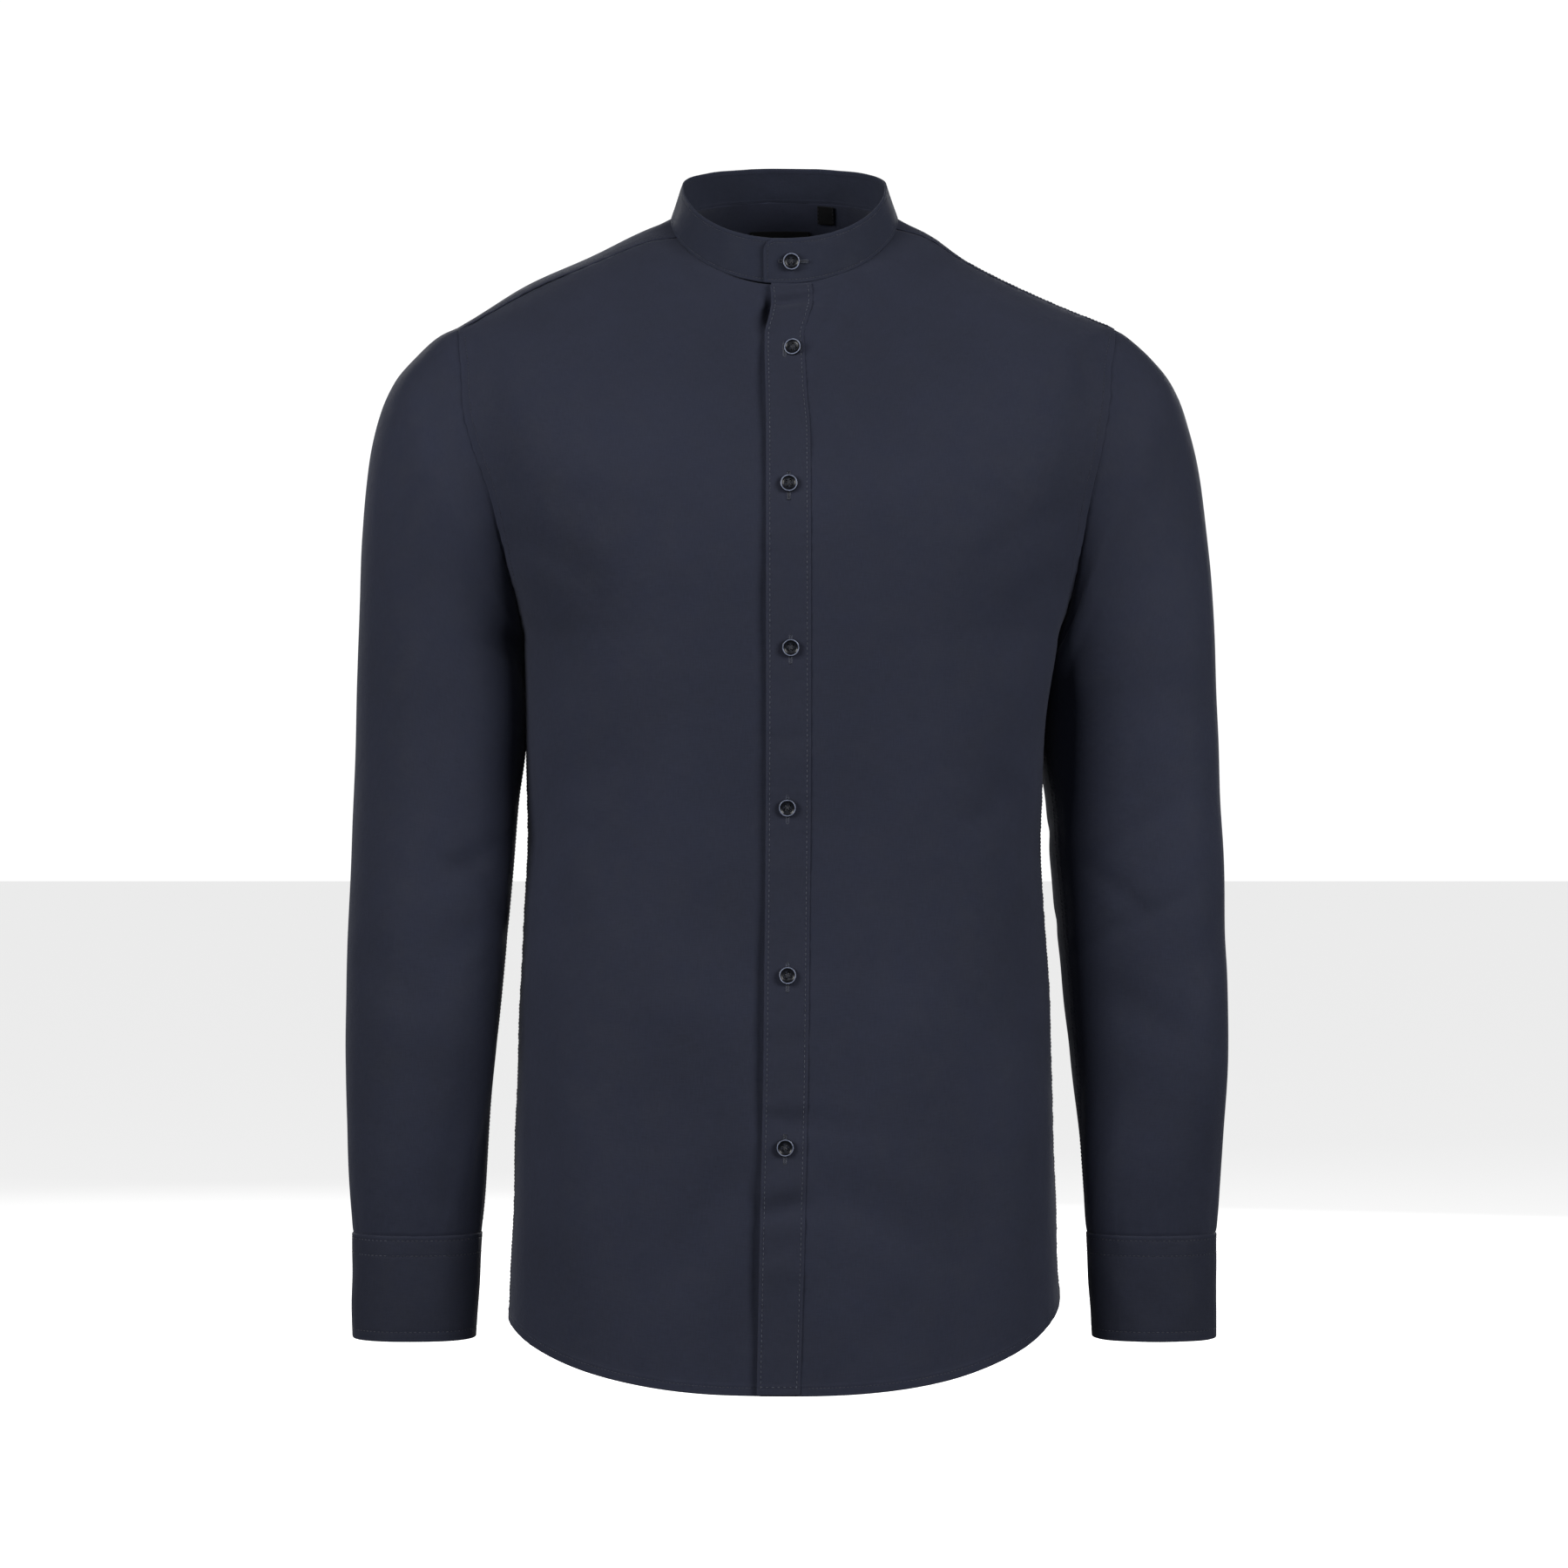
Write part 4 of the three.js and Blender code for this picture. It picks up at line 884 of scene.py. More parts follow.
def turned(d, width, raise_=0.30, line=1.4):
    """Extra thickness of a folded edge at distance d from it, with the dip of
    its stitch row."""
    return raise_ * (1 - smooth(width, width + 0.9, d)) - 0.20 * np.exp(-((d - (width - line)) / 0.5) ** 2)


CENTRE = np.array([0.0, 0.0, -400.0])
HEM_ROWS = np.array([0, 0.8, 1.8, 3.0, 3.9, 4.4, 4.9, 5.5, 6.2, 7.2, 9.0, 12.0])
ROWS = np.unique(np.concatenate([HEM_ROWS, np.arange(16.0, 428, 4.1), np.linspace(429, 633, 54),
                                 np.linspace(636.5, 784, 40), [786.2, 787.6]]))


# ---- fronts ----------------------------------------------------------------------------
def front_panel(side, name, node_name):
    over = side == "right"
    v = ROWS
    z = front_height(v)
    c, h = at(PLACKET, "c", "z", z), at(PLACKET, "h", "z", z)
    a0 = angle_of_x(c - h + 1.2 if over else c + h - 3, v)
    side_a = angle_of_y(np.full(len(v), -0.02), v)
    arm_a = armhole_angle(np.clip(v, UNDERARM_V, SHOULDER_V), side, True)
    ysh, ynk = YOKE_FRONT[side]
    tuck = 3.0
    yoke_a = angle_of_y(-lerp(ysh, ynk, (v - SHOULDER_V) / (NECK_V - SHOULDER_V)) + tuck * smooth(633, 645, v), v)
    a1 = sgn(side) * np.where(v <= UNDERARM_V, side_a, np.where(v < SHOULDER_V - 0.01, arm_a, yoke_a))
    frac = shares(260, 4.0, [0, 1, 2.5, 5], SEWN)
    A, L = spread(a0, a1, v, frac)
    V = np.broadcast_to(v[:, None], A.shape)
    raw = body_raw(A, V)
    d = (1 - frac)[None] * L[:, None]            # from the outer edge
    lift = np.zeros(A.shape)
    if not over:
        edge = (c - h)[:, None]
        lift = lift - UNDER * smooth(edge - 34, edge - 5, raw[..., 0])
    arm = smooth(UNDERARM_V - 4, UNDERARM_V + 6, V) * (1 - smooth(SHOULDER_V - 4, SHOULDER_V, V))
    lift = lift + arm * turned(d, 7.5, 0.28, 1.3)
    sides = 1 - smooth(UNDERARM_V - 8, UNDERARM_V, V)
    lift = lift + sides * turned(d, 5.0, 0.22, 1.2)
    top = smooth(SHOULDER_V, SHOULDER_V + 8, V)
    lift = lift - top * 0.95 * (1 - smooth(tuck + 0.4, tuck + 2.2, d))
    lift = lift + turned(V, HEM, 0.30, 1.0)
    lift = lift + pucker(V, d, 0.22, 9, 21 if over else 22) * (1 - top)
    lift = lift + top * pucker(V, d - tuck, 0.16, 7, 31)
    u_hem = frac[None] * L[:, None]
    lift = lift + pucker(u_hem, V - 3, 0.20, 7, 41 if over else 42)
    lift = lift + pucker(V, u_hem - (26 if over else 0), 0.16, 8, 51 if over else 52)
    P, _ = body(A, V, lift, None if over else UNDER_FINE)
    P = P + outward(side, -np.ones(A.shape)) * (fillet(V) * easing(d))[..., None]
    edge_ = np.maximum(1 - V / 2.2, 0) + np.maximum(1 - d / 1.6, 0) * arm
    cl = Cloth(P, CENTRE, u=u_hem, v=v, edge=np.clip(edge_, 0, 1))
    ob = cl.build(name, cloth)
    finish_piece(ob, [node_name])
    # hem, side and armhole rows
    cols = np.arange(cl.cols)
    keep = cols[(cl.UV[0, :, 0] > (28 if over else 2))]
    r = cl.row(HEM - 1.0)
    p, n = cl.sample(r[keep], keep)
    quiet.line(p, n, seed=61)
    rows = np.flatnonzero((v > 2) & (v < UNDERARM_V - 1))
    for off in (1.3, 5.0 - 1.2):
        p, n = cl.sample(rows, cl.column(off, True, rows))
        quiet.line(p, n, seed=62)
    rows = np.flatnonzero((v > UNDERARM_V + 2) & (v < SHOULDER_V - 1))
    p, n = cl.sample(rows, cl.column(6.2, True, rows))
    quiet.line(p, n, seed=63)
    return cl


front_left = front_panel("right", "front_left_cloth", "front_left")
front_right = front_panel("left", "front_right_cloth", "front_right")


# ---- button band ---------------------------------------------------------------------------
def button_band():
    v = np.unique(np.concatenate([[0.6, 1.4, 2.4, 3.4, 4.4, 5.0, 5.6, 6.2, 7.0], np.arange(9, 600, 2.6),
                                  np.arange(600, 784, 1.9), [784.0]]))
    z = front_height(v)
    c, h = at(PLACKET, "c", "z", z), at(PLACKET, "h", "z", z)
    d_edge = np.array([0, 0.5, 1.1, 1.6, 2.0, 2.4, 2.9, 3.6, 5.0, 6.8, 8.6, 10.4, 12.2, 13.8])
    tau = np.concatenate([-1 + d_edge / 13.8, (1 - d_edge / 13.8)[::-1][1:]])
    X = c[:, None] + h[:, None] * tau[None]
    V = np.broadcast_to(v[:, None], X.shape)
    A = angle_of_x(X, V)
    d = (1 - np.abs(tau))[None] * h[:, None]
    lift = 1.05 - 0.22 * np.exp(-((d - 2.1) / 0.42) ** 2) + 0.10 * (1 - smooth(2.4, 3.4, d))
    lift = lift + turned(V, HEM, 0.24, 1.0)
    lift = lift + pucker(V, d - 2.1, 0.17, 3.5, 71) + 0.12 * ripple(X, V, 26, 1.0, 72)
    lift = lift - 0.35 * (1 - smooth(0, 2.0, d)) * (tau[None] > 0)      # sewn down on its right
    for _, bx, bz in BUTTONS:                          # the cloth dips under each button
        r2 = ((X - bx) / 9.0) ** 2 + ((z[:, None] - bz) / 11.0) ** 2
        lift = lift - 0.45 * np.exp(-r2)
    P, _ = body(A, V, lift, BAND_FINE)
    edge_ = np.clip(np.maximum(1 - d / 1.4, 0) + np.maximum(1 - V / 2.2, 0), 0, 1)
    cl = Cloth(P, CENTRE, wall=0.8, u=X - X[:, :1], v=v, edge=edge_)
    ob = cl.build("button_band", cloth_band)
    finish_piece(ob, ["placket"])
    rows = np.arange(3, cl.rows - 1)
    for last in (False, True):
        p, n = cl.sample(rows, cl.column(2.1, last, rows))
        painted_sheen_sewing.line(p, n, 3.2, 1.7, 0.25, 0.12, 73 + last)
    cols = np.linspace(1.5, cl.cols - 2.5, 20)
    p, n = cl.sample(np.interp(HEM - 0.6, v, np.arange(len(v))), cols)
    painted_sheen_sewing.line(p, n, 3.2, 1.7, 0.22, 0.12, 75)
    return cl, v


band_cloth, BAND_V = button_band()


# ---- back -------------------------------------------------------------------------------
def back_panel():
    v = ROWS[ROWS < YOKE_BACK_V - 1.5]
    v = np.concatenate([v, [YOKE_BACK_V - 0.6, YOKE_BACK_V + 2.2]])
    def edge(side):
        under = angle_of_y(np.full(len(v), -2.6), v)
        arm = armhole_angle(np.clip(v, UNDERARM_V, SHOULDER_V), side, False)
        join = smooth(UNDERARM_V - 5, UNDERARM_V + 1, v)
        return lerp(under, np.where(v <= UNDERARM_V, angle_of_y(np.full(len(v), 0.02), v), arm), join)
    frac = shares(500, 4.3, SEWN, SEWN)
    A, L = spread(edge("right"), 360 - edge("left"), v, frac, 2400)
    V = np.broadcast_to(v[:, None], A.shape)
    u = frac[None] * L[:, None]
    d = np.minimum(u, L[:, None] - u)
    arm = smooth(UNDERARM_V - 4, UNDERARM_V + 6, V)
    lift = arm * turned(d, 7.5, 0.28, 1.3) - (1 - arm) * 0.95 * (1 - smooth(2.6, 4.6, d))
    lift = lift + turned(V, HEM, 0.30, 1.0)
    lift = lift - 0.9 * smooth(YOKE_BACK_V - 2.5, YOKE_BACK_V - 0.6, V)
    lift = lift + pucker(u, V - YOKE_BACK_V, 0.22, 8, 81) + pucker(u, V - 3, 0.20, 7, 82)
    lift = lift + pucker(V, d, 0.22, 9, 83)
    P, _ = body(A, V, lift)
    one = np.ones(A.shape)
    push = (fillet(V) * easing(d))[..., None]
    P = P + np.where(P[..., :1] > 0, outward("right", one), outward("left", one)) * push
    edge_ = np.clip(np.maximum(1 - V / 2.2, 0) + np.maximum(1 - d / 1.6, 0) * arm, 0, 1)
    cl = Cloth(P, CENTRE, u=u, v=v, edge=edge_)
    ob = cl.build("back_cloth", cloth)
    finish_piece(ob, ["back"])
    cols = np.arange(2, cl.cols - 2)
    p, n = cl.sample(cl.row(HEM - 1.0)[cols], cols)
    quiet.line(p, n, seed=84)
    rows = np.flatnonzero((v > UNDERARM_V + 2) & (v < YOKE_BACK_V - 3))
    for last in (False, True):
        p, n = cl.sample(rows, cl.column(6.2, last, rows))
        quiet.line(p, n, seed=85 + last)
    return cl


back_cloth = back_panel()


# ---- yoke --------------------------------------------------------------------------------
def yoke_panel():
    low = np.array([YOKE_BACK_V, YOKE_BACK_V + 0.8, 606.8, 607.6, 608.4, 609.6, 612, 616, 620, 624.5, 629])
    high = np.unique(np.concatenate([np.linspace(SHOULDER_V, 784, 44), [786.2, 787.6]]))
    v = np.concatenate([low, high])
    nl = len(low)
    vc = np.minimum(v, SHOULDER_V)
    backR, backL = armhole_angle(vc, "right", False), 360 - armhole_angle(vc, "left", False)
    def front_a(side):
        a, b = YOKE_FRONT[side]
        t = np.clip((v - SHOULDER_V) / (NECK_V - SHOULDER_V), 0, 1)
        return angle_of_y(-lerp(a, b, t), v)
    mid = shares(400, 4.2, EDGE[:4], EDGE[:4])
    tip = shares(48, 3.6, SEWN, [0, 2])
    Am, Lm = spread(backR, backL, v, mid, 2200)
    Ar, Lr = spread(front_a("right"), backR, v, tip, 500)
    Al, Ll = spread(360 - front_a("left"), backL, v, tip, 500)
    A = np.concatenate([Ar[:, :-1], Am, Al[:, ::-1][:, 1:]], 1)
    nt_, nm = len(tip) - 1, len(mid)
    V = np.broadcast_to(v[:, None], A.shape)
    dr, dl = tip[:-1][None] * Lr[:, None], (tip[::-1][1:])[None] * Ll[:, None]
    d = np.concatenate([dr, np.full((len(v), nm), 99.0), dl], 1)     # from a front seam
    lift = turned(d, 6.0, 0.26, 1.2) * smooth(SHOULDER_V, SHOULDER_V + 4, V)
    back_side = np.concatenate([np.zeros(nt_), np.ones(nm), np.zeros(nt_)])[None]
    lift = lift + turned(V - YOKE_BACK_V, 6.0, 0.26, 1.2) * back_side
    near = np.abs(V - SHOULDER_V)
    P, n = body(A, V, lift + pucker(V, d, 0.14, 7, 91) * (d < 50) + pucker(A * 2.4, V - YOKE_BACK_V, 0.2, 8, 92))
    cols = A.shape[1]
    from_arm = np.minimum(mid[None] * Lm[:, None], (1 - mid[None]) * Lm[:, None])
    over_top = np.where(P[..., 1] < 0, np.where(P[..., 0] > 0, fillet(V, P[..., 1], YOKE_FRONT["right"][0]),
                                                fillet(V, P[..., 1], YOKE_FRONT["left"][0])), fillet(V, P[..., 1], 20.0))
    push = np.where(back_side > 0, 0, over_top)
    push[:, nt_:nt_ + nm] = fillet(V[:, nt_:nt_ + nm]) * easing(from_arm)
    P = P + np.where(P[..., :1] > 0, outward("right", P[..., 1]), outward("left", P[..., 1])) * push[..., None]
    q = quads_of(len(v), cols)
    r, c = q[:, 0] // cols, q[:, 0] % cols
    ok = (r >= nl) | ((c >= nt_) & (c < nt_ + nm - 1))
    N = n
    u = np.concatenate([np.zeros((len(v), 1)), np.cumsum(np.linalg.norm(np.diff(P, axis=1), axis=-1), 1)], 1)
    u = u - u[:, cols // 2][:, None] + 300
    edge_ = np.clip(np.maximum(1 - d / 1.6, 0), 0, 1)
    # orient against the order of the angles, which runs front to back on +X
    cl = Cloth(P, CENTRE, u=u, v=v, edge=edge_, quads=q[ok])
    ob = cl.build("yoke_cloth", cloth)
    finish_piece(ob, ["yoke"])
    rows = np.arange(nl + 1, cl.rows - 1)
    for side_cols, sgn_ in ((np.arange(0, nt_ + 1), 1), (np.arange(cols - nt_ - 1, cols)[::-1], -1)):
        for off in (1.3, 4.8):
            pts, nrm = [], []
            for i in rows:
                D = d[i, side_cols].copy()
                D[-1] = D[-2] + 3
                p, m = cl.sample(i, np.interp(off, D, side_cols.astype(float)))
                pts.append(p)
                nrm.append(m)
            quiet.line(np.array(pts), np.array(nrm), seed=93)
    cc = np.arange(nt_ + 1, nt_ + nm - 1)
    for off in (1.4, 4.9):
        p, m = cl.sample(np.full(len(cc), np.interp(YOKE_BACK_V + off, v, np.arange(len(v)))), cc)
        quiet.line(p, m, seed=94)
    return cl


yoke_cloth = yoke_panel()


# ---- sleeves ---------------------------------------------------------------------------------
def sleeve_fan(q, s, side):
    g = lambda k: at(SLEEVE, k, "s", s)
    xo, xi = (g("xr"), g("ir")) if side == "right" else (g("xl"), g("il"))
    c, d = np.cos(np.radians(q)), np.sin(np.radians(q))
    turn = (0.33 if side == "right" else 0.12) * smooth(70, 210, s) * (1 - smooth(450, 560, s))
    lean = turn * g("d") * spow(d, 0.94)
    return np.stack([sgn(side) * ((xo + xi) / 2 + ((xo - xi) / 2) * spow(c, 0.94) * (1 - 0.5 * turn ** 2)) + lean,
                     g("y") - g("d") * spow(d, 0.94), (g("zo") + g("zi")) / 2 + ((g("zo") - g("zi")) / 2) * c], -1)


def sleeve_raw(q, s, side):
    q, s = np.broadcast_arrays(np.asarray(q, float) % 360, np.asarray(s, float))
    p = sleeve_fan(q, np.maximum(s, 0), side)
    hold = (1 - smooth(0, 120, s))[..., None]
    edge, _ = armhole_point(q, side)
    edge = edge + np.array([sgn(side) * 0.5, 0, 0])
    return p + hold * (edge - sleeve_fan(q, np.zeros_like(s), side))


def sleeve_normal(q, s, side):
    n = fd_normal(lambda a, b: sleeve_raw(a, b, side), q, np.clip(s, 1.5, 579), 2.0, 1.5)
    return n if side == "right" else -n


def sleeve_point(q, s, side, lift=0.0):
    q, s = np.broadcast_arrays(np.asarray(q, float), np.asarray(s, float))
    inner = np.exp(-((q - 180) / 24.0) ** 2) * (1 - smooth(160, 220, s))
    d = broad(side, q, s, 56.0) * smooth(0, 26, s) * (1 - 0.92 * inner)
    d = d + ripple(np.radians(q) * 56, s, 60, 0.28, 17 if side == "right" else 18) * smooth(4, 40, s)
    d = d * (1 - 0.85 * smooth(548, 571, s))           # held to the cuff's shape at its seam
    n = sleeve_normal(q, s, side)
    return sleeve_raw(q, s, side) + n * (d + lift)[..., None], n


def sleeve(side, name, node_name):
    s = np.unique(np.concatenate([[0, 1.5, 3.2, 5.2, 8], np.arange(11.5, 540, 3.9), np.arange(541, 572, 2.2), [574, 577, 581]]))
    nq = 104
    q = np.arange(nq) * 360.0 / nq
    Q, S = np.meshgrid(q, s)
    lift = -0.55 * (1 - smooth(0, 5.5, S))
    lift = lift + pucker(Q * 1.4, S, 0.26, 9, 101 if side == "right" else 102)
    lift = lift + pucker(Q * 0.95, S - 572, 0.40, 14, 103 if side == "right" else 104) * (1 - smooth(568, 574, S))
    lift = lift + 1.0 * smooth(572.5, 575, S)          # the end lies against the inside of the cuff
    seam = np.abs((Q - 180))
    lift = lift + 0.25 * np.exp(-(seam / 2.2) ** 2)
    P, n = sleeve_point(Q, S, side, lift)
    av, ay = armhole(q, side)
    span = fillet(av, ay, np.where(ay < 0, YOKE_FRONT[side][0], 20.0))
    P = P + outward(side, ay)[None] * (span[None] * easing(S))[..., None]
    # the seam allowance goes in under the armhole's edge
    pa, na = armhole_point(q, side, -1.15)
    pa = pa + outward(side, ay) * span[:, None]
    tuck = pa - np.stack([np.full(nq, sgn(side) * 2.4), np.zeros(nq), np.zeros(nq)], -1)
    P = np.concatenate([tuck[None], P], 0)
    s = np.concatenate([[-2.5], s])
    ref = np.nanmean(P, axis=1, keepdims=True)
    cl = Cloth(P, ref, wrap=True, v=s, edge=0.0)
    ob = cl.build(name, cloth)
    finish_piece(ob, [node_name])
    # underarm seam
    rows = np.arange(6, cl.rows - 6)
    for off in (-2.2, 2.2):
        p, m = cl.sample(rows, np.full(len(rows), nq / 2 + off / 3.6))
        quiet.line(p, m, pitch=2.5, seed=105)
    return cl


sleeve_l = sleeve("right", "sleeve_left_cloth", "sleeve_left")
sleeve_r = sleeve("left", "sleeve_right_cloth", "sleeve_right")


def sleeve_strip(side, name, node_name):
    t = np.concatenate([[0, 0.02, 0.05], np.linspace(0.09, 0.84, 40), np.linspace(0.86, 1.0, 12)])
    tau = np.array([-1, -0.94, -0.86, -0.80, -0.74, -0.62, -0.4, -0.15, 0.15, 0.4, 0.62, 0.74, 0.80, 0.86, 0.94, 1.0])
    end = 563.0
    half = (SLIT_WIDE / 2) * np.where(t <= 0.86, 1, lerp(1, 0.12, (t - 0.86) / 0.14))
    r = lerp(at(SLEEVE, "d", "s", end), 56, t * 0.4)
    q = CUFF_LAP_AT - 6 + np.degrees(tau[None] * (half / r)[:, None])
    s = np.broadcast_to((end - SLIT_LONG * t)[:, None], q.shape)
    d = (1 - np.abs(tau))[None] * half[:, None]
    lift = 1.5 - 0.16 * np.exp(-((d - 1.9) / 0.45) ** 2) + pucker(s, d - 1.9, 0.14, 3, 111)
    P, n = sleeve_point(q, s, side, lift)
    cl = Cloth(P, np.nanmean(P, axis=(0, 1)) - n.mean((0, 1)) * 60, wall=0.8, edge=np.clip(1 - d / 1.4, 0, 1))
    ob = cl.build(name, cloth_band)
    finish_piece(ob, [node_name])
    rows = np.arange(1, cl.rows - 4)
    for last in (False, True):
        p, m = cl.sample(rows, cl.column(1.9, last, rows))
        quiet.line(p, m, seed=112)
    return cl


sleeve_strip("right", "sleeve_strip_left", "sleeve_placket_left")
sleeve_strip("left", "sleeve_strip_right", "sleeve_placket_right")


# ---- cuffs ---------------------------------------------------------------------------------
def cuff_point(t, z, side):
    g = lambda k: at(CUFF, k, "z", z)
    xo, xi = (g("xr"), g("ir")) if side == "right" else (g("xl"), g("il"))
    q = CUFF_LAP_AT + 17 - t
    lift = CUFF_LAP * smooth(CUFF_TURN - 86, CUFF_TURN - 36, t)
    c, d = spow(np.cos(np.radians(q)), 0.92), spow(np.sin(np.radians(q)), 0.92)
    return np.stack([sgn(side) * ((xo + xi) / 2 + ((xo - xi) / 2 + lift) * c), g("y") - (g("d") + lift) * d, z + 0 * t], -1)


def cuff(side, name, node_name):
    z = CUFF_BOTTOM + np.concatenate([[0, 0.6, 1.5, 2.6, 4.0, 4.8, 5.4, 6.0, 7.0], np.linspace(10, 50, 18),
                                      [52, 53.4, 54, 54.6, 55.2, 56, 58, 60.5, 62.6, 63.3, 63.8, 64.3, 65.0, 65.6, 66]])
    t = CUFF_TURN * shares(255, 2.4, [0, 0.5, 1.2, 1.8, 2.4, 3.2], [0, 0.5, 1.2, 1.8, 2.4, 3.2])
    T, Z = np.meshgrid(t, z)
    P = cuff_point(T, Z, side)
    n = fd_normal(lambda a, b: cuff_point(a, b, side), T, Z, 2.0, 2.0)
    n = n if side == "right" else -n
    low, high = Z - CUFF_BOTTOM, CUFF_TOP - Z
    sew = lambda x, at_: -0.20 * np.exp(-((x - at_) / 0.45) ** 2)
    lift = sew(low, 5.4) + sew(high, 2.2) + sew(high, 11.8)
    lift = lift + pucker(T * 0.66, low - 5.4, 0.12, 6, 121) + pucker(T * 0.66, high - 2.2, 0.16, 6, 122)
    lift = lift + ripple(T * 0.66, Z, 34, 0.22, 123 if side == "right" else 124)
    P = P + n * lift[..., None]
    d = np.minimum(np.minimum(low, high), np.minimum(T, CUFF_TURN - T) * 0.66)
    cl = Cloth(P, np.array([sgn(side) * 238, -14, -670]), wall=1.8, edge=np.clip(1 - d / 1.6, 0, 1))
    ob = cl.build(name, cuff_cloth, rim=6)
    finish_piece(ob, [node_name])
    cols = np.arange(3, cl.cols - 3)
    for zz in (5.4, 66 - 2.2, 66 - 11.8):
        r = float(np.interp(zz, z - CUFF_BOTTOM, np.arange(len(z))))
        # the rows take on the cloth's tone; along one stretch of the upper rows on one cuff they get the lighter
        # thread, a painted highlight of stitches catching the light
        lit = (t[cols] > 228) & (t[cols] < 268) if side == "left" and zz > 10 else np.zeros(len(cols), bool)
        first, last = (int(np.argmax(lit)), int(len(lit) - np.argmax(lit[::-1]))) if lit.any() else (len(cols), len(cols))
        for part, rows_ in ((slice(0, first), quiet), (slice(first, last), painted_sheen_sewing), (slice(last, None), quiet)):
            some = cols[part]
            if len(some) > 3:
                p, m = cl.sample(np.full(len(some), r), some)
                rows_.line(p, m, 3.0, 1.7, 0.20, 0.06, 125)
    rows = np.arange(6, len(z) - 5)
    p, m = cl.sample(rows, cl.column(2.6, True, rows))
    quiet.line(p, m, seed=126)
    return cl, z, t


cuffs = {"right": cuff("right", "cuff_left_cloth", "cuff_left"), "left": cuff("left", "cuff_right_cloth", "cuff_right")}


# ---- collar band ------------------------------------------------------------------------------
def band_loop(a, top):
    c, s = np.cos(np.radians(a)), np.sin(np.radians(a))
    if not top:
        return body_raw(a, np.full_like(a, NECK_V)) + np.array([0, 0, 0.6])
    b = BAND_TOP
    e = 2 / b["n"]
    end, p = np.where(c >= 0, b["zf"], b["zb"]), np.where(c >= 0, b["pf"], b["pb"])
    return np.stack([b["a"] * spow(s, e), -np.where(c >= 0, b["f"], b["k"]) * spow(c, e),
                     b["zs"] + (end - b["zs"]) * np.abs(c) ** p], -1)


def band_angle(x):
    return math.degrees(math.asin(x / 73.0))


BAND_FROM, BAND_TO = band_angle(BAND_END["over"]), 360 + band_angle(BAND_END["under"])


def band_raw(a, h):
    a, h = np.broadcast_arrays(np.asarray(a, float), np.asarray(h, float))
    return lerp(band_loop(a, False), band_loop(a, True), h[..., None])


def band_point(a, h, lift=0.0):
    a, h = np.broadcast_arrays(np.asarray(a, float), np.asarray(h, float))
    n = fd_normal(band_raw, a, np.clip(h, 0.05, 0.95), 1.5, 0.05)
    under = (BAND_WALL + 0.35) * smooth(BAND_TO - 34, BAND_TO - 20.5, a)
    return band_raw(a, h) + n * (0.3 - under + lift)[..., None], n


def collar():
    x = np.concatenate([[0, 0.25, 0.6, 1.1, 1.7, 2.4, 3.2, 4.2, 5.4, 6.8, 8.4, 10.4]])
    first = BAND_FROM + np.degrees(x / 73.0)
    last = BAND_TO - np.degrees(np.array([0, 0.6, 1.4, 2.4, 4.0, 6.0]) / 73.0)
    a = np.concatenate([first, np.linspace(first[-1], last[-1], 205)[1:-1], last[::-1]])
    xx = np.radians(a - BAND_FROM) * 73
    rr = BAND_END["round"]
    top = np.where(xx >= rr, 1, 1 - (rr - np.sqrt(np.maximum(rr * rr - (rr - np.minimum(xx, rr)) ** 2, 0))) / 28)
    dh = np.array([0, 0.6, 1.2, 1.7, 2.2, 2.8, 3.8, 5.5, 8, 11, 14, 17, 20, 22.5, 24.2, 25.2, 25.8, 26.3, 26.8, 27.4, 28]) / 28
    A, H = np.meshgrid(a, dh)
    Ht = H * top[None]
    low, high = H * 28, (1 - H) * 28
    sew = lambda x_, at_: -0.18 * np.exp(-((x_ - at_) / 0.45) ** 2)
    D = np.broadcast_to(xx[None], A.shape)
    lift = sew(low, 1.7) + sew(high, 2.2) * smooth(0, 3, D)
    lift = lift + ripple(A * 1.25, low, 30, 0.22, 131) + pucker(A * 1.25, low - 1.7, 0.16, 5, 132)
    lift = lift + pucker(A * 1.25, high - 2.2, 0.07, 4, 133)
    P, n = band_point(A, Ht, lift)
    d = np.minimum(np.minimum(low, high), D)
    cl = Cloth(P, np.array([0, 0, 0.0]), wall=BAND_WALL - 0.1, edge=np.clip(1 - d / 1.6, 0, 1), N=n)
    ob = cl.build("collar_cloth", collar_cloth, rim=6)
    finish_piece(ob, ["collar_band"])
    idx = np.arange(len(a))
    rows_h = np.arange(len(dh))
    for hh in (1.7, 28 - 2.2):
        keep = idx[4:-3]
        r = np.interp(hh / 28, dh, rows_h)
        p, m = cl.sample(np.full(len(keep), r), keep)
        quiet.line(p, m, pitch=2.2, seed=134)
    rr_ = np.linspace(np.interp(3 / 28, dh, rows_h), np.interp(24 / 28, dh, rows_h), 16)
    p, m = cl.sample(rr_, np.full(16, np.interp(2.2, xx, idx)))
    quiet.line(p, m, pitch=2.2, seed=135)
    return cl


collar_piece = collar()


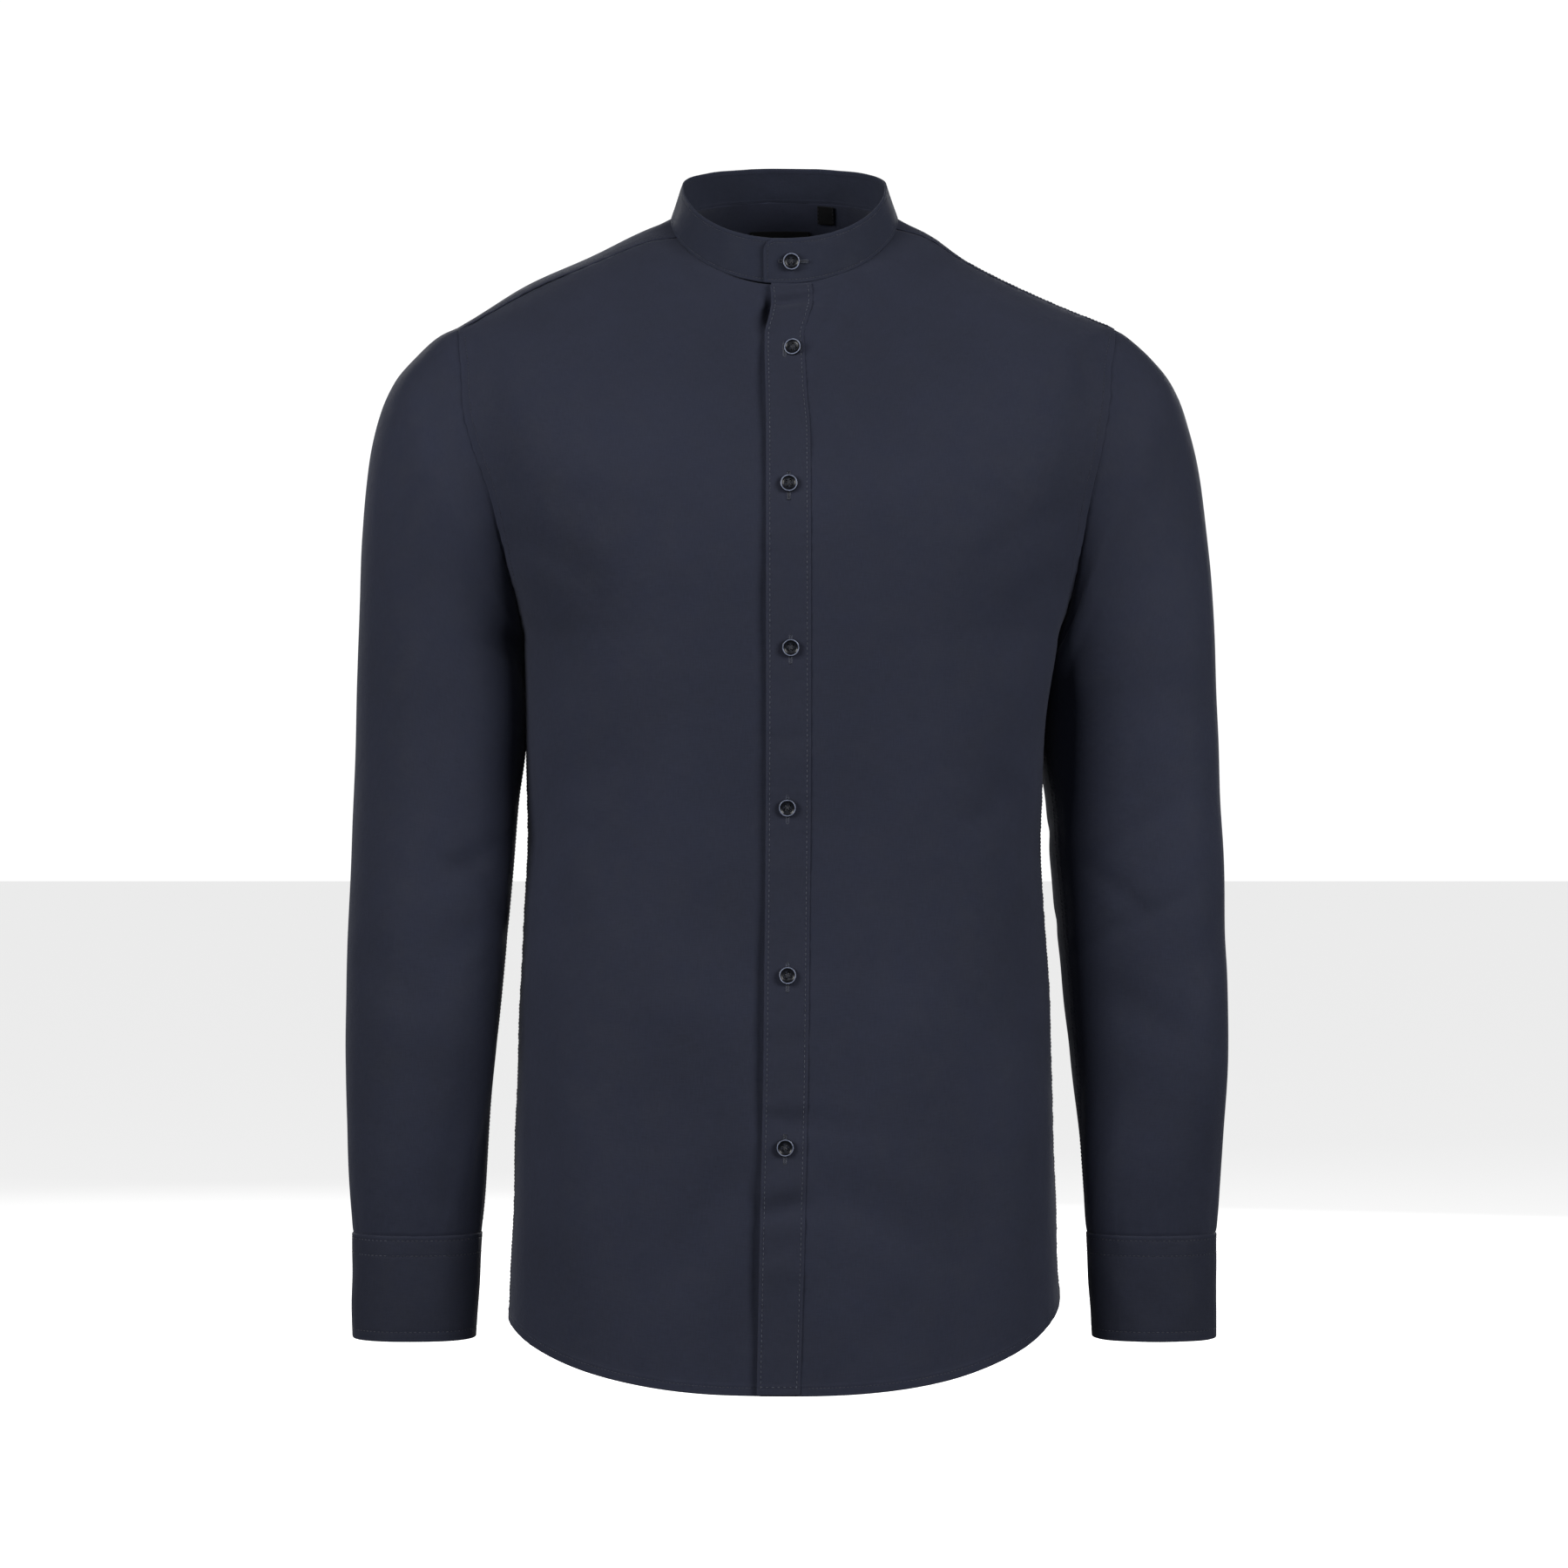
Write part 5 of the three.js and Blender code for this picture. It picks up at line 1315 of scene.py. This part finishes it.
# ---- labels, blank --------------------------------------------------------------------------
def inside_patch(name, node_name, x0, x1, v0, v1, lift):
    vs = np.linspace(v0, v1, 22)
    xs = np.linspace(x1, x0, 26)
    X, V = np.meshgrid(xs, vs)
    A = 180 - angle_of_x(X, V)
    bend = 0.25 * np.sin((X - x0) / (x1 - x0) * 5.3) * (V - v1) / (v0 - v1)
    base, n = body_raw(A, V), body_normal(A, V)
    P = base + n * (lift - 0.5 * bend)[..., None]
    cl = Cloth(P, CENTRE, wall=0.45, u=X - x0, v=vs)
    ob = cl.build(name, label_cloth)
    finish_piece(ob, [node_name])
    # sewn on along both ends, seen from inside
    rows = np.arange(1, 21)
    for c in (0.9, 24.1):
        p, m = cl.sample(rows, np.full(20, c))
        quiet.line(p - m * 0.45, -m, pitch=2.6, seed=141)


inside_patch("neck_label_tape", "neck_label", -23, 17, 712, 742, -2.0)
inside_patch("size_tab_tape", "size_tab", 22.4, 33, 757, 786, -2.0)


# ---- buttons ----------------------------------------------------------------------------------
def button_profile():
    """Radius and height: polished back, round edge, raised rim, hollow middle."""
    pts = np.array([[0, 1.30], [0.9, 1.29], [1.9, 1.30], [2.8, 1.36], [3.5, 1.50], [4.0, 1.76], [4.35, 2.05],
                    [4.7, 2.24], [5.0, 2.30], [5.3, 2.20], [5.52, 1.98], [5.68, 1.66], [5.75, 1.25], [5.68, 0.82],
                    [5.45, 0.42], [5.1, 0.14], [4.6, 0.02], [3.0, 0.0], [0.0, 0.0]])
    seg = np.linalg.norm(np.diff(pts, axis=0), axis=1)
    L = np.concatenate([[0], np.cumsum(seg)])
    where = np.concatenate([np.linspace(0, L[3], 26), np.linspace(L[3], L[16], 44)[1:], np.linspace(L[16], L[-1], 5)[1:]])
    out = np.stack([np.interp(where, L, pts[:, k]) for k in (0, 1)], -1)
    k = np.array([1, 2, 3, 2, 1]) / 9.0
    soft = out.copy()
    for c in (0, 1):
        soft[2:-2, c] = np.convolve(out[:, c], k, "valid")
    soft[0, 0] = soft[-1, 0] = 0.0
    return soft


def button_mesh(name, centre, normal, spin=0.0, tilt=None):
    prof = button_profile()
    na = 96
    ang = np.arange(na) * 2 * math.pi / na
    R, H = prof[1:-1, 0][:, None], prof[1:-1, 1][:, None] + 0 * ang[None]
    X, Y = R * np.cos(ang)[None], R * np.sin(ang)[None]
    H = H.copy()
    top = (np.arange(len(prof) - 2) < 30)[:, None]
    for hx, hy in ((1.3, 1.3), (1.3, -1.3), (-1.3, 1.3), (-1.3, -1.3)):
        r = np.hypot(X - hx, Y - hy)
        H = H - top * 1.15 * (1 - smooth(0.52, 0.86, r))
    rows = H.shape[0]
    V = np.concatenate([np.stack([X, Y, H], -1).reshape(-1, 3), [[0, 0, prof[0, 1]], [0, 0, prof[-1, 1]]]])
    Q = quads_of(rows, na, True)[:, ::-1]
    n = rows * na
    caps = []
    for k in range(0, na, 2):
        caps.append([n, (k) % na, (k + 1) % na, (k + 2) % na])
        b = (rows - 1) * na
        caps.append([n + 1, b + (k + 2) % na, b + (k + 1) % na, b + k])
    F = np.concatenate([Q, np.array(caps)])
    z = unit(np.asarray(normal, float))
    x = unit(np.cross([0, 0, 1.0] if abs(z[2]) < 0.9 else [0, 1.0, 0], z))
    y = np.cross(z, x)
    if tilt is not None:
        t_axis, t_deg = tilt
        k = unit(x * t_axis[0] + y * t_axis[1])
        c, s = math.cos(math.radians(t_deg)), math.sin(math.radians(t_deg))
        rot = lambda w: w * c + np.cross(k, w) * s + k * np.dot(k, w) * (1 - c)
        x, y, z = rot(x), rot(y), rot(z)
    c, s = math.cos(math.radians(spin)), math.sin(math.radians(spin))
    x, y = x * c + y * s, y * c - x * s
    M = np.stack([x, y, z])
    rr = np.hypot(V[:, 0], V[:, 1])
    # painted highlight: a thin bright ring along the top of the raised rim, stored as 'ring' for the button material;
    # the face between the holes is also made a little lighter
    painted_glint = np.exp(-((rr - 4.98) / 0.25) ** 2) * (V[:, 2] > 1.0)
    off = np.hypot(np.abs(V[:, 0]) - 1.3, np.abs(V[:, 1]) - 1.3)
    painted_glint = painted_glint + 0.09 * np.exp(-(rr / 2.5) ** 4) * smooth(0.80, 1.05, off) * (V[:, 2] > 1.0)
    ob = mesh_object(name, V @ M + centre, F, material=button_gloss, attrs={"ring": painted_glint})
    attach(ob, "root")
    return ob, M


def button_threads(name, centre, M, seed):
    """Two crossed runs of thread over the middle, three strands each."""
    r = np.random.default_rng(seed)
    V, F, count = [], [], 0
    for d in ((1, 1), (1, -1)):
        dirv = np.array([d[0], d[1], 0]) / math.sqrt(2)
        side = np.array([-dirv[1], dirv[0], 0])
        for k in (-1, 0, 1):
            t = np.linspace(-1, 1, 15)
            arch = 1.48 + (0.20 if d[1] < 0 else 0.05) * (1 - t ** 2) - 1.0 * smooth(0.80, 1.0, np.abs(t))
            path = dirv[None] * (t * 1.98)[:, None] + side[None] * (k * 0.24 * (1 + 0.25 * (1 - t ** 2)) + r.uniform(-0.04, 0.04))[:, None]
            path[:, 2] = arch + (0.05 if k == 0 else 0)
            T = unit(np.gradient(path, axis=0))
            B = unit(np.cross(T, [0, 0, 1.0]))
            N = np.cross(B, T)
            ring = []
            for a in range(6):
                th = a * math.pi / 3
                ring.append(path + (B * math.cos(th) + N * math.sin(th)) * 0.15)
            V.append(np.stack(ring, 1).reshape(-1, 3))
            q = quads_of(15, 6, True)[:, ::-1] + count
            caps = np.array([[0, 1, 2, 3], [0, 3, 4, 5], [87, 86, 85, 84], [89, 88, 87, 84]]) + count
            F += [q, caps]
            count += 90
    ob = mesh_object(name, np.concatenate(V) @ M + centre, np.concatenate(F), material=thread_dark)
    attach(ob, "root")
    return ob


def buttonhole(P, T, N, long, out=0.95):
    """Close stitches down both sides of a slit and a bar at each end."""
    B = np.cross(N, T)
    n = int(long / 0.55)
    s = np.linspace(-long / 2, long / 2, n)
    for side in (-1, 1):
        painted_sheen_sewing.add(P + T * s[:, None] + B * side * out * 0.75, np.repeat([B], n, 0), np.repeat([N], n, 0), 1.15, 0.21, 0.16, 0.10)
    for end in (-1, 1):
        w = np.linspace(-1, 1, 5)
        for k in (0, 1):
            painted_sheen_sewing.add(P + T * end * (long / 2 + 0.25 + 0.5 * k) + B * (w * 0.8)[:, None] * 0, np.repeat([B], 5, 0)[:1], np.repeat([N], 5, 0)[:1],
                       2.3, 0.26, 0.22, 0.12)


# A thin near-black strip along each buttonhole: painted shadow in its cut.
def slit(P, T, N, long, name):
    B = np.cross(N, T)
    t = np.linspace(-1, 1, 9)
    half = 0.24 * np.sqrt(np.maximum(1 - t ** 2, 0.02))
    up = P + T * (t * long / 2)[:, None] + N * 0.10
    a, b = up + B * half[:, None], up - B * half[:, None]
    V = np.concatenate([a, b, a - N * 0.12, b - N * 0.12])
    F = []
    for k in range(8):
        F += [[k, k + 1, 9 + k + 1, 9 + k], [18 + k, 27 + k, 27 + k + 1, 18 + k + 1],
              [k, 18 + k, 18 + k + 1, k + 1], [9 + k, 9 + k + 1, 27 + k + 1, 27 + k]]
    F += [[0, 9, 27, 18], [8, 26, 35, 17]]
    return V, np.array(F)


slits = []
for name, bx, bz in BUTTONS:
    v = station_of_front(bz)
    r = np.interp(v, BAND_V, np.arange(len(BAND_V)))
    i = int(round(r))
    X = band_cloth.P[i, :, 0]
    c = np.interp(bx, X, np.arange(band_cloth.cols)) if X[-1] > X[0] else 13
    p, n = band_cloth.sample(r, c)
    p2, n2 = band_cloth.sample(np.interp(station_of_front(bz - 1.1), BAND_V, np.arange(len(BAND_V))), c)
    up = unit(np.array([0, 0, 1.0]) - n2 * n2[2])
    if name == "button_1":        # this button is only half through, its slit shows on the left
        p3, n3 = band_cloth.sample(r, np.interp(bx - 5.0, X, np.arange(band_cloth.cols)))
        buttonhole(p3, up, n3, 12.0)
        slits.append(slit(p3, up, n3, 11.6, name))
    else:
        buttonhole(p2, up, n2, 17.0)
        slits.append(slit(p2, up, n2, 16.4, name))
    if name == "button_1":
        # tilted, its left part still under the edge of the slit
        p = p + np.array([0.4, 0, 0]) - n * 0.1
        ob, M = button_mesh(name + "_disc", p, n, 38, ((0.45, -1.0), 13))
        button_threads(name + "_thread", p, M, 5)
    else:
        spin = {"button_2": 12, "button_3": 3, "button_4": -4, "button_5": 20, "button_6": 9}[name]
        small = {"button_2": ((1.0, 0.4), 5), "button_3": ((0.3, 1.0), 3), "button_4": ((1.0, -0.3), 4),
                 "button_5": ((-0.4, 1.0), 4), "button_6": ((1.0, 0.8), 5)}[name]
        ob, M = button_mesh(name + "_disc", p + n * 0.85, n, spin, small)
        button_threads(name + "_thread", p + n * 0.85, M, 5)
    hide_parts(name)
a, h = band_angle(COLLAR_BUTTON[0]), (COLLAR_BUTTON[1] + 28) / 28
p, n = (x[0] for x in band_point(np.array([a]), np.array([h]), 0.0))
along = unit(np.array([1.0, 0, 0]) - n * n[0])
hole_p, hole_n = (x[0] for x in band_point(np.array([band_angle(COLLAR_BUTTON[0] + 1.6)]), np.array([h]), 0.0))
buttonhole(hole_p, along, hole_n, 17.5)
slits.append(slit(hole_p, along, hole_n, 16.8, "collar"))
ob, M = button_mesh("button_collar_disc", p + n * 0.75, n, 2, ((0.2, 1.0), 3))
button_threads("button_collar_thread", p + n * 0.75, M, 6)
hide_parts("button_collar")
for side, tag in (("right", "left"), ("left", "right")):
    cl, zs_, ts_ = cuffs[side]
    z0 = (CUFF_TOP + CUFF_BOTTOM) / 2
    r = np.interp(z0, zs_, np.arange(len(zs_)))
    c = np.interp(CUFF_TURN - 15, ts_, np.arange(len(ts_)))
    p, n = cl.sample(r, c)
    p1, _ = cl.sample(r, c - 1)
    along = unit((p - p1) - n * np.dot(p - p1, n))
    buttonhole(p - along * 1.5, along, n, 16.5)
    slits.append(slit(p - along * 1.5, along, n, 15.8, "cuff_" + tag))
    ob, M = button_mesh(f"button_cuff_{tag}_disc", p + n * 0.75, n, 15, ((1.0, 0.5), 4))
    button_threads(f"button_cuff_{tag}_thread", p + n * 0.75, M, 7)
    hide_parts(f"button_cuff_{tag}")

V, F, count = [], [], 0
for v_, f_ in slits:
    V.append(v_)
    F.append(f_ + count)
    count += len(v_)
ob = mesh_object("buttonhole_slit_shadows", np.concatenate(V), np.concatenate(F), material=painted_slit_shadow, flat=True)
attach(ob, "root")

for rows_, name_, mat_ in ((painted_sheen_sewing, "stitching", thread), (quiet, "stitching_tonal", thread_quiet)):
    ob = rows_.build(name_, mat_)
    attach(ob, "root")

# ---- stage, light and camera --------------------------------------------------------------------
scene = bpy.context.scene
floor_me = bpy.data.meshes.new("floor")
S = 30.0
floor_me.from_pydata([(-S, -S, -0.95), (S, -S, -0.95), (S, S, -0.95), (-S, S, -0.95)], [], [(0, 1, 2, 3)])
floor = bpy.data.objects.new("floor", floor_me)
scene.collection.objects.link(floor)
m, nt, shader = principled("pale_floor")
obj = nt.nodes.new("ShaderNodeTexCoord").outputs["Object"]
nt.links.new(scaled_colour(nt, (0.86, 0.86, 0.86), ranged(nt, noise(nt, obj, 3.0), 0.99, 1.01)), shader.inputs["Base Color"])
shader.inputs["Roughness"].default_value = 0.9
shader.inputs["Emission Color"].default_value = (1, 1, 1, 1)
shader.inputs["Emission Strength"].default_value = 0.8
floor_me.materials.append(m)
floor.visible_diffuse = False
floor.visible_glossy = False
floor.visible_shadow = False

world = bpy.data.worlds.new("studio")
scene.world = world
world.use_nodes = True
wn = world.node_tree
bg = wn.nodes["Background"]
bg.inputs["Color"].default_value = (1, 1, 1, 1)
path = wn.nodes.new("ShaderNodeLightPath")
strength = wn.nodes.new("ShaderNodeMapRange")
strength.inputs["To Min"].default_value = 0.035
strength.inputs["To Max"].default_value = 1.05
wn.links.new(path.outputs["Is Camera Ray"], strength.inputs["Value"])
wn.links.new(strength.outputs["Result"], bg.inputs["Strength"])


def area_light(name, at_, look, size, watts, colour=(1, 1, 1)):
    data = bpy.data.lights.new(name, "AREA")
    data.shape = "RECTANGLE"
    data.size, data.size_y = size
    data.energy = watts
    data.color = colour
    ob_ = bpy.data.objects.new(name, data)
    scene.collection.objects.link(ob_)
    ob_.location = at_
    from mathutils import Vector
    ob_.rotation_euler = (Vector(look) - Vector(at_)).to_track_quat("-Z", "Y").to_euler()
    return ob_


area_light("key", (-2.0, -1.66, 0.52), (0, 0, -0.26), (1.25, 1.15), 44.5)
area_light("second", (1.98, -1.74, 0.52), (0, 0, -0.26), (1.25, 1.15), 49)
area_light("side", (-3.4, -0.9, 0.5), (0, 0, -0.36), (0.9, 1.4), 4)
area_light("front", (-0.3, -4.4, 1.0), (0, 0, -0.3), (1.6, 1.2), 10)
area_light("back_low", (1.2, 3.6, 0.6), (0, 0, -0.36), (1.4, 1.4), 62)
area_light("back_high", (-1.6, 3.2, 1.3), (0, 0, -0.3), (1.2, 1.2), 44)

cam = bpy.data.cameras.new("camera")
cam.sensor_fit, cam.sensor_width = "HORIZONTAL", 36.0
cam.lens = 36 * 3500 / 1017.0
cam.clip_end = 100
cam_ob = bpy.data.objects.new("camera", cam)
cam_ob.location = (-0.0003, -3.5, -0.347)
cam_ob.rotation_euler = (math.pi / 2, 0, 0)
scene.collection.objects.link(cam_ob)
scene.camera = cam_ob
scene.view_settings.view_transform = "Standard"
scene.view_settings.look = "None"
scene.view_settings.exposure = 0.0
